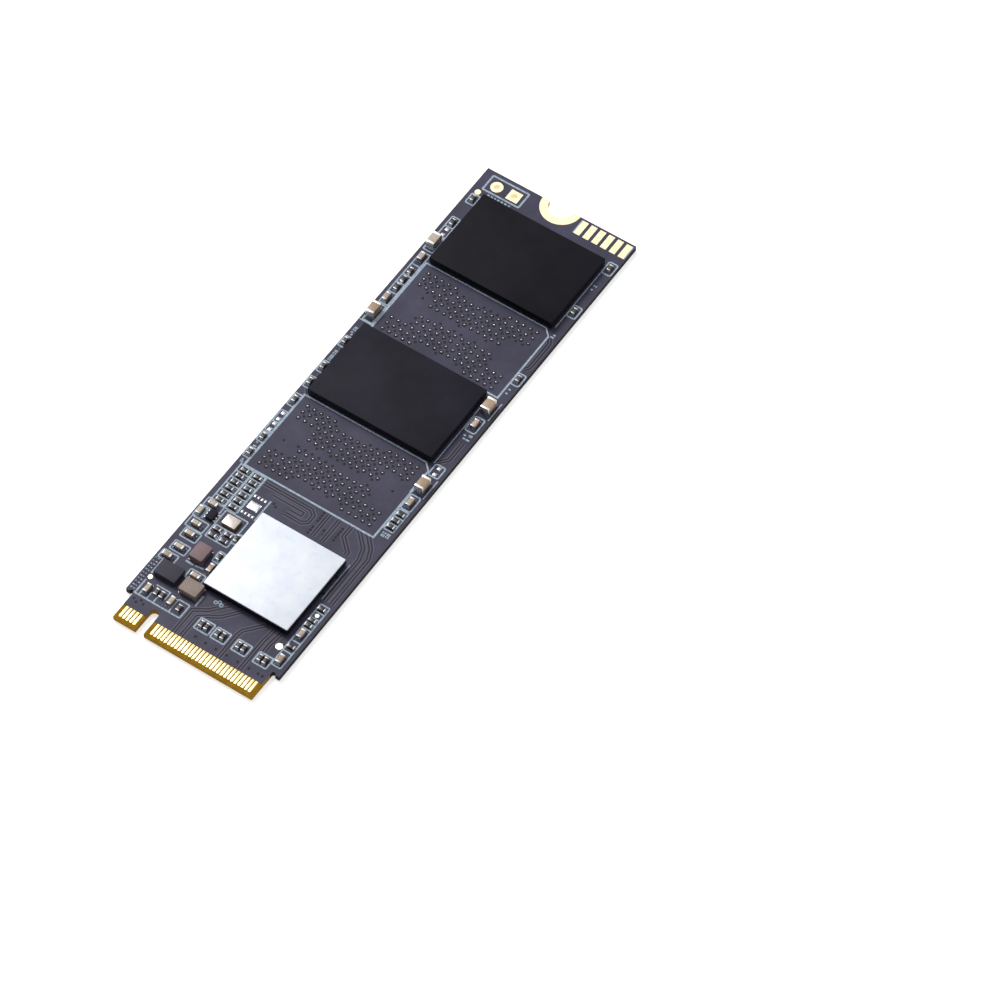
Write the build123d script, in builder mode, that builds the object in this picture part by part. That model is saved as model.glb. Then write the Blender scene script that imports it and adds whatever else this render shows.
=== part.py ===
"""M.2 2280 solid state drive with an M-key edge connector, as a bare card.

Millimetres. X runs across the board and +Y from the connector's edge to the screw end. Z is up, with the
board's underside at 0. The origin is the middle of the connector's edge, on the underside plane.
"""

import os
from math import asin, degrees

from build123d import *

os.makedirs("parts", exist_ok=True)

# Board outline, to the M.2 2280 standard
board_width = 22.0
board_length = 80.0
tongue_width = 19.85
tongue_length = 4.0
shoulder_relief = 0.5
screw_notch_radius = 1.75
key_notch_x = -6.125
key_notch_width = 1.2
key_notch_depth = 3.5

# Layers, from the underside up: mask film, prepreg, core, prepreg, mask film
board_thickness = 0.8
film_thickness = 0.05
prepreg_thickness = 0.2
core_thickness = board_thickness - 2 * (film_thickness + prepreg_thickness)
plane_thickness = 0.035
plane_inset = 0.5
lower_prepreg_z = film_thickness
core_z = lower_prepreg_z + prepreg_thickness
upper_prepreg_z = core_z + core_thickness
upper_film_z = upper_prepreg_z + prepreg_thickness
plane_start_y = 4.6

# Edge contacts: pin n sits at x = (pin_centre - n) / 2 * contact_pitch, odd pins on top
contact_pitch = 0.5
contact_width = 0.37
contact_start_y = 0.4
pin_centre = 38
last_pin = 75
key_pins = range(59, 67)
mask_edge_top_y = 2.1
mask_edge_bottom_y = 2.6

# Lands and pads at the screw end
land_radius = 2.8
crescent_radius = 3.15
crescent_y = 79.15
crescent_gap = 0.12
edge_pad_count = 6
edge_pad_pitch = 1.3
edge_pad_size = (0.85, 2.25)
edge_pad_centre = (7.05, 78.58)
jumper_y = 78.05
round_jumper_x = -8.4
square_jumper_x = -5.8
jumper_pad_size = 1.65
jumper_hole_radius = 0.4
barrel_wall = 0.05

# Memory packages and sites
memory_size = (18.0, 12.0)
memory_centres = [(-0.55, 44.85), (0.35, 69.5)]
spare_centres = [(-0.5, 32.4), (0.25, 57.1)]
ball_pitch = 1.0
ball_columns = 17
ball_rows = 11
ball_radius = 0.22
ball_height = 0.2
memory_substrate_thickness = 0.2
memory_body_thickness = 0.8
memory_die_size = (12.0, 10.0)
memory_die_thickness = 0.1
memory_die_count = 4
memory_die_step = 0.5
bump_opening_radius = 0.25

# Controller package
controller_centre = (2.5, 15.15)
controller_size = 12.0
controller_ball_pitch = 0.65
controller_ball_count = 17
controller_ball_radius = 0.15
controller_substrate_thickness = 0.25
controller_body_thickness = 0.63
controller_spreader_thickness = 0.12
controller_die_size = (6.0, 5.4)
controller_die_thickness = 0.4
spreader_corner = 0.12
spreader_chamfer = 0.04

# Power supply and clock
power_chip_centre = (-7.9, 8.4)
power_chip_size = (3.05, 2.2)
power_chip_height = 0.9
power_chip_thermal_pad = (1.7, 1.1)
power_chip_lead = (0.25, 0.3)
power_chip_lead_pitch = 0.5
power_chip_leads = 6
inductor_centres = [(-6.4, 12.6), (-4.35, 7.95)]
inductor_sizes = [(1.9, 2.4), (2.5, 2.0)]
inductor_height = 1.0
inductor_terminal = 0.5
inductor_corner = 0.12
coil_margin = 0.2
crystal_centre = (-6.1, 18.35)
crystal_size = (2.0, 1.6)
crystal_height = 0.5
crystal_corner = 0.15
crystal_lid_inset = 0.05
regulator_centre = (-8.65, 17.9)
regulator_size = (1.0, 1.4)
regulator_height = 0.5
regulator_lead_pitch = 0.5

# Chip passives: (length, width, height, length of each metal end)
large_capacitor = (1.9, 1.2, 1.25, 0.35)
medium_capacitor = (1.25, 0.62, 0.6, 0.25)
small_capacitor = (0.95, 0.5, 0.45, 0.2)
resistor = (1.0, 0.5, 0.35, 0.2)
pad_overhang = 0.12

# Where the passives sit, as (x, y) of their middles, by the axis they lie along
large_capacitors_y = [(9.65, 35.35), (9.7, 49.3), (-10.0, 53.45), (-9.9, 66.35)]
medium_capacitors_x = [(-9.15, 12.1), (-9.65, 10.4), (-9.2, 14.3), (-9.4, 15.9), (-9.4, 19.3), (-5.1, 9.8)]
medium_capacitors_y = [
    (-10.2, 17.7),
    (-8.8, 5.25),
    (-5.4, 5.35),
    (-4.3, 11.65),
    (9.8, 10.15),
    (9.8, 5.95),
    (9.72, 32.6),
    (9.7, 46.4),
    (-9.95, 56.15),
    (-9.9, 63.65),
]
coupling_pair_centres = [(-0.25, 4.8), (2.07, 4.8), (5.07, 4.8), (8.1, 4.8)]
coupling_pair_spacing = 0.74
small_capacitors_y = [
    (-4.1, 5.1),
    (-7.6, 5.45),
    (-6.8, 5.45),
    (-10.35, 37.3),
    (-10.3, 30.7),
    (-10.3, 28.0),
    (-10.35, 47.9),
    (-10.35, 43.3),
    (-10.35, 40.5),
    (10.3, 54.9),
    (-9.8, 61.1),
    (10.25, 67.2),
    (10.25, 75.2),
    (-9.8, 74.8),
]
resistor_array_x = [-9.2, -7.3]
resistor_array_start_y = 20.3
resistor_array_pitch = 1.02
resistor_array_rows = 6
resistors_x = [
    (-6.95, 16.7),
    (-5.35, 16.7),
    (-6.95, 15.7),
    (-5.35, 15.7),
    (9.75, 14.35),
    (9.75, 12.45),
    (9.75, 11.65),
    (9.8, 8.1),
    (9.8, 30.55),
    (9.8, 29.5),
    (9.8, 28.5),
]
resistors_y = [(-4.3, 16.9), (-4.45, 13.6), (-9.8, 59.6), (-9.8, 58.2), (-9.8, 70.3)]

# Empty footprints: middles of two-pad sites, by the axis the missing part would lie along
empty_sites_top_y = [(-10.35, 34.4), (-10.35, 32.6), (9.75, 38.2), (-9.8, 68.6)]
empty_sites_bottom_x = [(8.7, 7.3), (0.2, 14.8), (-2.4, 15.9), (2.4, 10.6), (3.4, 12.9), (0.1, 17.5)]
empty_sites_bottom_y = [
    (9.4, 10.6),
    (6.5, 11.3),
    (2.2, 11.2),
    (0.7, 10.7),
    (-0.6, 10.7),
    (-3.4, 10.5),
    (-1.6, 12.9),
    (-3.0, 12.9),
    (3.5, 15.1),
    (3.4, 17.0),
    (1.8, 17.4),
    (-8.9, 18.1),
    (-9.4, 20.9),
    (-10.4, 8.9),
]
empty_pad_size = 0.5
empty_pad_spacing = 1.0

# Leadless sites without a chip: a small one on top and an 8-lead one underneath
small_site_centre = (-5.35, 21.85)
small_site_pad = (1.5, 1.1)
small_site_lead = (0.28, 0.4)
small_site_lead_pitch = 0.5
small_site_row_spacing = 2.7
small_site_leads = 4
spare_chip_centre = (-5.45, 17.65)
spare_chip_pad_size = (4.1, 3.5)
spare_chip_lead = (0.45, 0.75)
spare_chip_lead_pitch = 1.3
spare_chip_row_spacing = 5.9
spare_chip_leads = 4
spare_chip_puddle_radius = 0.64
spare_chip_puddle_spacing = (1.7, 1.35)
spare_chip_pad_thickness = 0.02

# Gold dots: (x, y, radius)
gold_dots_top_places = [(8.55, 7.45, 0.45), (9.75, 13.4, 0.25), (-9.6, 6.9, 0.3), (-9.95, 76.1, 0.4)]
gold_dots_bottom_places = [(8.05, 73.75, 0.45), (-8.6, 5.0, 0.5), (-8.9, 16.6, 0.3), (9.75, 15.25, 0.35)]

top_film = Plane.XY.offset(upper_film_z)
bottom_film = Plane.XY
board_top = Plane.XY.offset(board_thickness)
pieces = []


def keep(builder, name):
    """Label a finished piece and put it on the list to write."""
    builder.part.label = name
    pieces.append(builder.part)


def swapped(size):
    """The same size, turned by a quarter."""
    return size[1], size[0]


def end_places(centres, spacing, along_y):
    """The two points at +-spacing/2 from each centre, along X or along Y."""
    half = spacing / 2
    dx, dy = (0, half) if along_y else (half, 0)
    return [(x + s * dx, y + s * dy) for x, y in centres for s in (-1, 1)]


def grid_places(centre, pitch, columns, rows, wanted):
    """Places of a ball grid's columns and rows for which wanted(column, row) is true."""
    x0 = centre[0] - pitch * (columns - 1) / 2
    y0 = centre[1] - pitch * (rows - 1) / 2
    return [
        (x0 + pitch * column, y0 + pitch * row)
        for column in range(columns)
        for row in range(rows)
        if wanted(column, row)
    ]


def memory_ball_wanted(column, row):
    """132-ball memory pattern: 5 + 5 in the outer rows, then two full rows, then two rows of 11."""
    from_edge = min(row, ball_rows - 1 - row)
    from_side = min(column, ball_columns - 1 - column)
    if from_edge == 0:
        return from_side < 5
    if from_edge < 3:
        return True
    return from_edge < 5 and from_side > 2


def controller_ball_wanted(column, row):
    """A full grid but for the pin 1 corner."""
    return (column, row) != (0, 0)


def pin_places(first_pin):
    """X of every second pin from first_pin on, without those in the key."""
    pins = [n for n in range(first_pin, last_pin + 1, 2) if n not in key_pins]
    return [(pin_centre - n) / 2 * contact_pitch for n in pins]


coupling_capacitors = end_places(coupling_pair_centres, coupling_pair_spacing, along_y=False)
small_capacitors_y = small_capacitors_y + coupling_capacitors
resistor_array = [
    (x, resistor_array_start_y + resistor_array_pitch * row)
    for x in resistor_array_x
    for row in range(resistor_array_rows)
]
resistors_x = resistors_x + resistor_array


# Outline and pad layouts, drawn flat and used by several pieces

with BuildSketch() as outline:
    with Locations((0, tongue_length)):
        Rectangle(board_width, board_length - tongue_length, align=(Align.CENTER, Align.MIN))
    Rectangle(tongue_width, tongue_length, align=(Align.CENTER, Align.MIN))
    with Locations(*end_places([(0, tongue_length)], tongue_width + shoulder_relief, along_y=False)):
        Circle(shoulder_relief / 2, mode=Mode.SUBTRACT)
    with Locations((0, board_length)):
        Circle(screw_notch_radius, mode=Mode.SUBTRACT)
    with Locations((key_notch_x, 0)):
        Rectangle(
            key_notch_width,
            key_notch_depth - key_notch_width / 2,
            align=(Align.CENTER, Align.MIN),
            mode=Mode.SUBTRACT,
        )
    with Locations((key_notch_x, key_notch_depth - key_notch_width / 2)):
        Circle(key_notch_width / 2, mode=Mode.SUBTRACT)

with BuildSketch() as jumper_bores:
    with Locations((round_jumper_x, jumper_y), (square_jumper_x, jumper_y)):
        Circle(jumper_hole_radius + barrel_wall)

with BuildSketch() as jumper_pads:
    with Locations((round_jumper_x, jumper_y)):
        Circle(jumper_pad_size / 2)
    with Locations((square_jumper_x, jumper_y)):
        Rectangle(jumper_pad_size, jumper_pad_size)

with BuildSketch() as top_contact_layout:
    with Locations(*[(x, contact_start_y) for x in pin_places(1)]):
        Rectangle(contact_width, mask_edge_top_y - contact_start_y, align=(Align.CENTER, Align.MIN))

with BuildSketch() as bottom_contact_layout:
    with Locations(*[(x, contact_start_y) for x in pin_places(2)]):
        Rectangle(contact_width, mask_edge_bottom_y - contact_start_y, align=(Align.CENTER, Align.MIN))

with BuildSketch() as edge_pad_layout:
    with Locations(edge_pad_centre):
        with GridLocations(edge_pad_pitch, 1, edge_pad_count, 1):
            Rectangle(*edge_pad_size)

with BuildSketch() as top_land_layout:
    with Locations((0, board_length)):
        Circle(land_radius)
        Circle(screw_notch_radius, mode=Mode.SUBTRACT)
    with Locations((0, board_length)):
        Rectangle(board_width, board_width, align=(Align.CENTER, Align.MIN), mode=Mode.SUBTRACT)

with BuildSketch() as bottom_land_layout:
    with Locations((0, crescent_y)):
        Circle(crescent_radius)
    with Locations((0, board_length)):
        Circle(land_radius + crescent_gap, mode=Mode.SUBTRACT)
        Rectangle(board_width, board_width, align=(Align.CENTER, Align.MIN), mode=Mode.SUBTRACT)
    add(top_land_layout.sketch)

with BuildSketch() as bottom_land_opening:
    with Locations((0, crescent_y)):
        Circle(crescent_radius)
    with Locations((0, board_length)):
        Circle(land_radius)

with BuildSketch() as top_dot_layout:
    for x, y, radius in gold_dots_top_places:
        with Locations((x, y)):
            Circle(radius)

with BuildSketch() as bottom_dot_layout:
    for x, y, radius in gold_dots_bottom_places:
        with Locations((x, y)):
            Circle(radius)

with BuildSketch() as bump_openings:
    for centre in spare_centres:
        spots = grid_places(centre, ball_pitch, ball_columns, ball_rows, memory_ball_wanted)
        with Locations(*spots):
            Circle(bump_opening_radius)


def draw_end_pads(kind, places_x, places_y):
    """Two pads under each passive of one kind, a little larger than its metal ends."""
    length, width, _, end = kind
    pad_length = end + 2 * pad_overhang
    spacing = length - end
    if places_x:
        with Locations(*end_places(places_x, spacing, along_y=False)):
            Rectangle(pad_length, width)
    if places_y:
        with Locations(*end_places(places_y, spacing, along_y=True)):
            Rectangle(width, pad_length)


def draw_leadless_site(centre, lead, pitch, row_spacing, count):
    """Two rows of lead pads, above and below a leadless chip's place."""
    with Locations(centre):
        with GridLocations(pitch, row_spacing, count, 2):
            Rectangle(*lead)


with BuildSketch() as top_pad_layout:
    draw_end_pads(large_capacitor, [], large_capacitors_y)
    draw_end_pads(medium_capacitor, medium_capacitors_x, medium_capacitors_y)
    draw_end_pads(small_capacitor, [], small_capacitors_y)
    draw_end_pads(resistor, resistors_x, resistors_y)
    with Locations(*end_places(empty_sites_top_y, empty_pad_spacing, along_y=True)):
        Rectangle(empty_pad_size, empty_pad_size)
    with Locations(small_site_centre):
        Rectangle(*small_site_pad)
    draw_leadless_site(
        small_site_centre, small_site_lead, small_site_lead_pitch, small_site_row_spacing, small_site_leads
    )

with BuildSketch() as bottom_pad_layout:
    with Locations(*end_places(empty_sites_bottom_x, empty_pad_spacing, along_y=False)):
        Rectangle(empty_pad_size, empty_pad_size)
    with Locations(*end_places(empty_sites_bottom_y, empty_pad_spacing, along_y=True)):
        Rectangle(empty_pad_size, empty_pad_size)

with BuildSketch() as spare_chip_opening:
    with Locations(spare_chip_centre):
        Rectangle(*spare_chip_pad_size)

with BuildSketch() as spare_chip_lead_layout:
    draw_leadless_site(
        spare_chip_centre, spare_chip_lead, spare_chip_lead_pitch, spare_chip_row_spacing, spare_chip_leads
    )


# Laminate: core, two prepregs and the copper planes pressed between them

with BuildSketch() as laminate_face:
    add(outline.sketch)
    add(jumper_bores.sketch, mode=Mode.SUBTRACT)

with BuildSketch() as plane_face:
    with Locations((0, plane_start_y)):
        Rectangle(
            board_width - 2 * plane_inset,
            board_length - plane_start_y - plane_inset,
            align=(Align.CENTER, Align.MIN),
        )
    with Locations((0, board_length)):
        Circle(land_radius + plane_inset, mode=Mode.SUBTRACT)
    add(jumper_pads.sketch, mode=Mode.SUBTRACT)

with BuildPart() as laminate_core:
    with BuildSketch(Plane.XY.offset(core_z)):
        add(laminate_face.sketch)
    extrude(amount=core_thickness)
keep(laminate_core, "laminate_core")

with BuildPart() as prepreg_top:
    with BuildSketch(Plane.XY.offset(upper_prepreg_z)):
        add(laminate_face.sketch)
    extrude(amount=prepreg_thickness)
    with BuildSketch(Plane.XY.offset(upper_prepreg_z)):
        add(plane_face.sketch)
    extrude(amount=plane_thickness, mode=Mode.SUBTRACT)
keep(prepreg_top, "prepreg_top")

with BuildPart() as ground_plane:
    with BuildSketch(Plane.XY.offset(upper_prepreg_z)):
        add(plane_face.sketch)
    extrude(amount=plane_thickness)
keep(ground_plane, "ground_plane")

with BuildPart() as prepreg_bottom:
    with BuildSketch(Plane.XY.offset(lower_prepreg_z)):
        add(laminate_face.sketch)
    extrude(amount=prepreg_thickness)
    with BuildSketch(Plane.XY.offset(core_z)):
        add(plane_face.sketch)
    extrude(amount=-plane_thickness, mode=Mode.SUBTRACT)
keep(prepreg_bottom, "prepreg_bottom")

with BuildPart() as power_plane:
    with BuildSketch(Plane.XY.offset(core_z - plane_thickness)):
        add(plane_face.sketch)
    extrude(amount=plane_thickness)
keep(power_plane, "power_plane")


# Solder mask films, open at the tongue and at every pad

with BuildPart() as solder_mask_top:
    with BuildSketch(top_film):
        add(outline.sketch)
        Rectangle(board_width, 2 * mask_edge_top_y, mode=Mode.SUBTRACT)
        for openings in (
            top_land_layout,
            edge_pad_layout,
            jumper_pads,
            top_dot_layout,
            top_pad_layout,
            bump_openings,
        ):
            add(openings.sketch, mode=Mode.SUBTRACT)
    extrude(amount=film_thickness)
keep(solder_mask_top, "solder_mask_top")

with BuildPart() as solder_mask_bottom:
    with BuildSketch(bottom_film):
        add(outline.sketch)
        Rectangle(board_width, 2 * mask_edge_bottom_y, mode=Mode.SUBTRACT)
        for openings in (
            bottom_land_opening,
            edge_pad_layout,
            jumper_pads,
            bottom_dot_layout,
            bottom_pad_layout,
            spare_chip_opening,
            spare_chip_lead_layout,
        ):
            add(openings.sketch, mode=Mode.SUBTRACT)
    extrude(amount=film_thickness)
keep(solder_mask_bottom, "solder_mask_bottom")


# Gold and tinned pads, flush with the mask

flush_pads = [
    ("contacts_top", top_contact_layout, top_film),
    ("contacts_bottom", bottom_contact_layout, bottom_film),
    ("screw_land_top", top_land_layout, top_film),
    ("screw_land_bottom", bottom_land_layout, bottom_film),
    ("edge_pads_top", edge_pad_layout, top_film),
    ("edge_pads_bottom", edge_pad_layout, bottom_film),
    ("gold_dots_top", top_dot_layout, top_film),
    ("gold_dots_bottom", bottom_dot_layout, bottom_film),
    ("tinned_pads_top", top_pad_layout, top_film),
    ("tinned_pads_bottom", bottom_pad_layout, bottom_film),
]
for pad_name, layout, film in flush_pads:
    with BuildPart() as pad_group:
        with BuildSketch(film):
            add(layout.sketch)
        extrude(amount=film_thickness)
    keep(pad_group, pad_name)


# Plated through holes: a barrel with a pad on each face

with BuildPart() as jumper_hole_round:
    for film in (bottom_film, top_film):
        with BuildSketch(film):
            with Locations((round_jumper_x, jumper_y)):
                Circle(jumper_pad_size / 2)
        extrude(amount=film_thickness)
    with BuildSketch(bottom_film):
        with Locations((round_jumper_x, jumper_y)):
            Circle(jumper_hole_radius + barrel_wall)
    extrude(amount=board_thickness)
    with BuildSketch(bottom_film):
        with Locations((round_jumper_x, jumper_y)):
            Circle(jumper_hole_radius)
    extrude(amount=board_thickness, mode=Mode.SUBTRACT)
keep(jumper_hole_round, "jumper_hole_round")

with BuildPart() as jumper_hole_square:
    for film in (bottom_film, top_film):
        with BuildSketch(film):
            with Locations((square_jumper_x, jumper_y)):
                Rectangle(jumper_pad_size, jumper_pad_size)
        extrude(amount=film_thickness)
    with BuildSketch(bottom_film):
        with Locations((square_jumper_x, jumper_y)):
            Circle(jumper_hole_radius + barrel_wall)
    extrude(amount=board_thickness)
    with BuildSketch(bottom_film):
        with Locations((square_jumper_x, jumper_y)):
            Circle(jumper_hole_radius)
    extrude(amount=board_thickness, mode=Mode.SUBTRACT)
keep(jumper_hole_square, "jumper_hole_square")


# Underside site of an 8-lead chip that isn't fitted: bare pad, four solder puddles, tinned lead pads

with BuildPart() as spare_chip_pad:
    with BuildSketch(Plane.XY.offset(film_thickness)):
        add(spare_chip_opening.sketch)
    extrude(amount=-spare_chip_pad_thickness)
keep(spare_chip_pad, "spare_chip_pad")

puddle_height = film_thickness - spare_chip_pad_thickness
puddle_slope = 60
with BuildPart() as spare_chip_solder:
    with BuildSketch(bottom_film):
        add(spare_chip_lead_layout.sketch)
    extrude(amount=film_thickness)
    with BuildSketch(Plane.XY.offset(puddle_height)):
        with Locations(spare_chip_centre):
            with GridLocations(*spare_chip_puddle_spacing, 2, 2):
                Circle(spare_chip_puddle_radius)
    extrude(amount=-puddle_height, taper=puddle_slope)
keep(spare_chip_solder, "spare_chip_solder")


# Packages on ball grids

def ball_group(places, height, radius):
    """Solder balls between the board and a package, as short columns."""
    with BuildPart() as balls:
        with BuildSketch(board_top):
            with Locations(*places):
                Circle(radius)
        extrude(amount=height)
    return balls


def plate(centre, size, z, thickness):
    """A flat rectangular plate with its underside at z."""
    with BuildPart() as slab:
        with BuildSketch(Plane.XY.offset(z)):
            with Locations(centre):
                Rectangle(*size)
        extrude(amount=thickness)
    return slab


substrate_z = board_thickness + ball_height
memory_body_z = substrate_z + memory_substrate_thickness

for number, centre in enumerate(memory_centres, start=1):
    spots = grid_places(centre, ball_pitch, ball_columns, ball_rows, memory_ball_wanted)
    keep(ball_group(spots, ball_height, ball_radius), f"memory_{number}_solder_balls")
    keep(plate(centre, memory_size, substrate_z, memory_substrate_thickness), f"memory_{number}_substrate")

    with BuildPart() as die_stack:
        for level in range(memory_die_count):
            step_x = (level - (memory_die_count - 1) / 2) * memory_die_step
            with BuildSketch(Plane.XY.offset(memory_body_z + level * memory_die_thickness)):
                with Locations((centre[0] + step_x, centre[1])):
                    Rectangle(*memory_die_size)
            extrude(amount=memory_die_thickness)
    keep(die_stack, f"memory_{number}_die_stack")

    with BuildPart() as memory_body:
        with BuildSketch(Plane.XY.offset(memory_body_z)):
            with Locations(centre):
                Rectangle(*memory_size)
        extrude(amount=memory_body_thickness)
        add(die_stack.part, mode=Mode.SUBTRACT)
    keep(memory_body, f"memory_{number}_body")

controller_body_z = substrate_z + controller_substrate_thickness
controller_spreader_z = controller_body_z + controller_body_thickness
controller_face = (controller_size, controller_size)
controller_spots = grid_places(
    controller_centre,
    controller_ball_pitch,
    controller_ball_count,
    controller_ball_count,
    controller_ball_wanted,
)
keep(ball_group(controller_spots, ball_height, controller_ball_radius), "controller_solder_balls")
keep(
    plate(controller_centre, controller_face, substrate_z, controller_substrate_thickness),
    "controller_substrate",
)
controller_die = plate(controller_centre, controller_die_size, controller_body_z, controller_die_thickness)
keep(controller_die, "controller_die")

with BuildPart() as controller_body:
    with BuildSketch(Plane.XY.offset(controller_body_z)):
        with Locations(controller_centre):
            Rectangle(*controller_face)
    extrude(amount=controller_body_thickness)
    add(controller_die.part, mode=Mode.SUBTRACT)
keep(controller_body, "controller_body")

with BuildPart() as controller_heat_spreader:
    with BuildSketch(Plane.XY.offset(controller_spreader_z)):
        with Locations(controller_centre):
            RectangleRounded(*controller_face, radius=spreader_corner)
    extrude(amount=controller_spreader_thickness)
    chamfer(controller_heat_spreader.faces().sort_by(Axis.Z)[-1].edges(), length=spreader_chamfer)
keep(controller_heat_spreader, "controller_heat_spreader")


# Solder bumps left on the two unfitted memory sites

bump_base_radius = 0.23
bump_height = 0.2
bump_sphere_radius = (bump_base_radius**2 + bump_height**2) / (2 * bump_height)
bump_latitude = degrees(asin(1 - bump_height / bump_sphere_radius))
for number, centre in enumerate(spare_centres, start=1):
    spots = grid_places(centre, ball_pitch, ball_columns, ball_rows, memory_ball_wanted)
    with BuildPart() as bumps:
        with Locations(*[(x, y, upper_film_z) for x, y in spots]):
            Sphere(
                bump_sphere_radius,
                arc_size1=bump_latitude,
                align=(Align.CENTER, Align.CENTER, Align.MIN),
            )
    keep(bumps, f"spare_site_{number}_bumps")


# Power chip: a leadless package on side pads and a thermal pad

power_chip_stand = 0.05
with BuildPart() as power_chip_body:
    with BuildSketch(Plane.XY.offset(board_thickness + power_chip_stand)):
        with Locations(power_chip_centre):
            Rectangle(*power_chip_size)
    extrude(amount=power_chip_height - power_chip_stand)
keep(power_chip_body, "power_chip_body")

with BuildPart() as power_chip_pads:
    with BuildSketch(board_top):
        with Locations(power_chip_centre):
            Rectangle(*power_chip_thermal_pad)
    extrude(amount=power_chip_stand)
    with BuildSketch(board_top):
        draw_leadless_site(
            power_chip_centre,
            power_chip_lead,
            power_chip_lead_pitch,
            power_chip_size[1] - power_chip_lead[1],
            power_chip_leads,
        )
    extrude(amount=power_chip_stand)
keep(power_chip_pads, "power_chip_pads")


# Moulded power inductors: a winding sealed in a powder core, on two end terminals

terminal_thickness = 0.08
coil_wall = 0.3
coil_height = 0.5
for number, (centre, size) in enumerate(zip(inductor_centres, inductor_sizes), start=1):
    coil_radius = min(size) / 2 - coil_margin
    coil_z = board_thickness + (inductor_height - coil_height) / 2 + terminal_thickness / 2

    with BuildPart() as coil:
        with BuildSketch(Plane.XY.offset(coil_z)):
            with Locations(centre):
                Circle(coil_radius)
                Circle(coil_radius - coil_wall, mode=Mode.SUBTRACT)
        extrude(amount=coil_height)
    keep(coil, f"inductor_{number}_coil")

    along_y = size[1] > size[0]
    terminal = (size[0], inductor_terminal) if along_y else (inductor_terminal, size[1])
    terminal_spacing = max(size) - inductor_terminal
    with BuildPart() as terminals:
        with BuildSketch(board_top):
            with Locations(*end_places([centre], terminal_spacing, along_y)):
                Rectangle(*terminal)
        extrude(amount=terminal_thickness)
    keep(terminals, f"inductor_{number}_terminals")

    with BuildPart() as inductor_body:
        with BuildSketch(Plane.XY.offset(board_thickness + terminal_thickness)):
            with Locations(centre):
                Rectangle(*size)
        extrude(amount=inductor_height - terminal_thickness)
        chamfer(inductor_body.edges().filter_by(Axis.Z), length=inductor_corner)
        add(coil.part, mode=Mode.SUBTRACT)
    keep(inductor_body, f"inductor_{number}_body")


# Crystal: ceramic base with a quartz blank in it, under a metal lid

crystal_lid_thickness = 0.1
crystal_wall = 0.25
crystal_floor = 0.15
blank_size = (1.2, 0.8)
blank_thickness = 0.08
crystal_base_height = crystal_height - crystal_lid_thickness
crystal_lid_size = [side - 2 * crystal_lid_inset for side in crystal_size]
with BuildPart() as crystal_base:
    with BuildSketch(board_top):
        with Locations(crystal_centre):
            RectangleRounded(*crystal_size, radius=crystal_corner)
    extrude(amount=crystal_base_height)
    with BuildSketch(Plane.XY.offset(board_thickness + crystal_base_height)):
        with Locations(crystal_centre):
            Rectangle(crystal_size[0] - 2 * crystal_wall, crystal_size[1] - 2 * crystal_wall)
    extrude(amount=crystal_floor - crystal_base_height, mode=Mode.SUBTRACT)
keep(crystal_base, "crystal_base")

keep(
    plate(crystal_centre, blank_size, board_thickness + crystal_floor, blank_thickness),
    "quartz_blank",
)

with BuildPart() as crystal_lid:
    with BuildSketch(Plane.XY.offset(board_thickness + crystal_base_height)):
        with Locations(crystal_centre):
            RectangleRounded(*crystal_lid_size, radius=crystal_corner)
    extrude(amount=crystal_lid_thickness)
keep(crystal_lid, "crystal_lid")


# Six-lead regulator

lead_size = (0.22, 0.2)
lead_thickness = 0.12
with BuildPart() as regulator_body:
    with BuildSketch(board_top):
        with Locations(regulator_centre):
            Rectangle(*regulator_size)
    extrude(amount=regulator_height)
keep(regulator_body, "regulator_body")

with BuildPart() as regulator_leads:
    with BuildSketch(board_top):
        with Locations(regulator_centre):
            with GridLocations(regulator_size[0] + lead_size[0], regulator_lead_pitch, 2, 3):
                Rectangle(*lead_size)
    extrude(amount=lead_thickness)
keep(regulator_leads, "regulator_leads")


# Chip passives: a body between two metal ends

def draw_passive_bodies(kind, places_x, places_y):
    """The middle stretch of each passive of one kind, seen from above."""
    length, width, _, end = kind
    body = (length - 2 * end, width)
    if places_x:
        with Locations(*places_x):
            Rectangle(*body)
    if places_y:
        with Locations(*places_y):
            Rectangle(*swapped(body))


def draw_passive_ends(kind, places_x, places_y):
    """The two metal ends of each passive of one kind, seen from above."""
    length, width, _, end = kind
    cap = (end, width)
    if places_x:
        with Locations(*end_places(places_x, length - end, along_y=False)):
            Rectangle(*cap)
    if places_y:
        with Locations(*end_places(places_y, length - end, along_y=True)):
            Rectangle(*swapped(cap))


passive_groups = [
    ("large_capacitor", [(large_capacitor, [], large_capacitors_y)]),
    (
        "small_capacitor",
        [
            (medium_capacitor, medium_capacitors_x, medium_capacitors_y),
            (small_capacitor, [], small_capacitors_y),
        ],
    ),
    ("resistor", [(resistor, resistors_x, resistors_y)]),
]
for group_name, kinds in passive_groups:
    with BuildPart() as passive_bodies:
        for kind, places_x, places_y in kinds:
            with BuildSketch(board_top):
                draw_passive_bodies(kind, places_x, places_y)
            extrude(amount=kind[2])
    keep(passive_bodies, f"{group_name}_bodies")

    with BuildPart() as passive_ends:
        for kind, places_x, places_y in kinds:
            with BuildSketch(board_top):
                draw_passive_ends(kind, places_x, places_y)
            extrude(amount=kind[2])
    keep(passive_ends, f"{group_name}_ends")


for piece in pieces:
    export_step(piece, f"parts/{piece.label}.step")
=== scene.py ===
import math
import random

import bmesh
import bpy
from mathutils import Matrix, Quaternion, Vector


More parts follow.
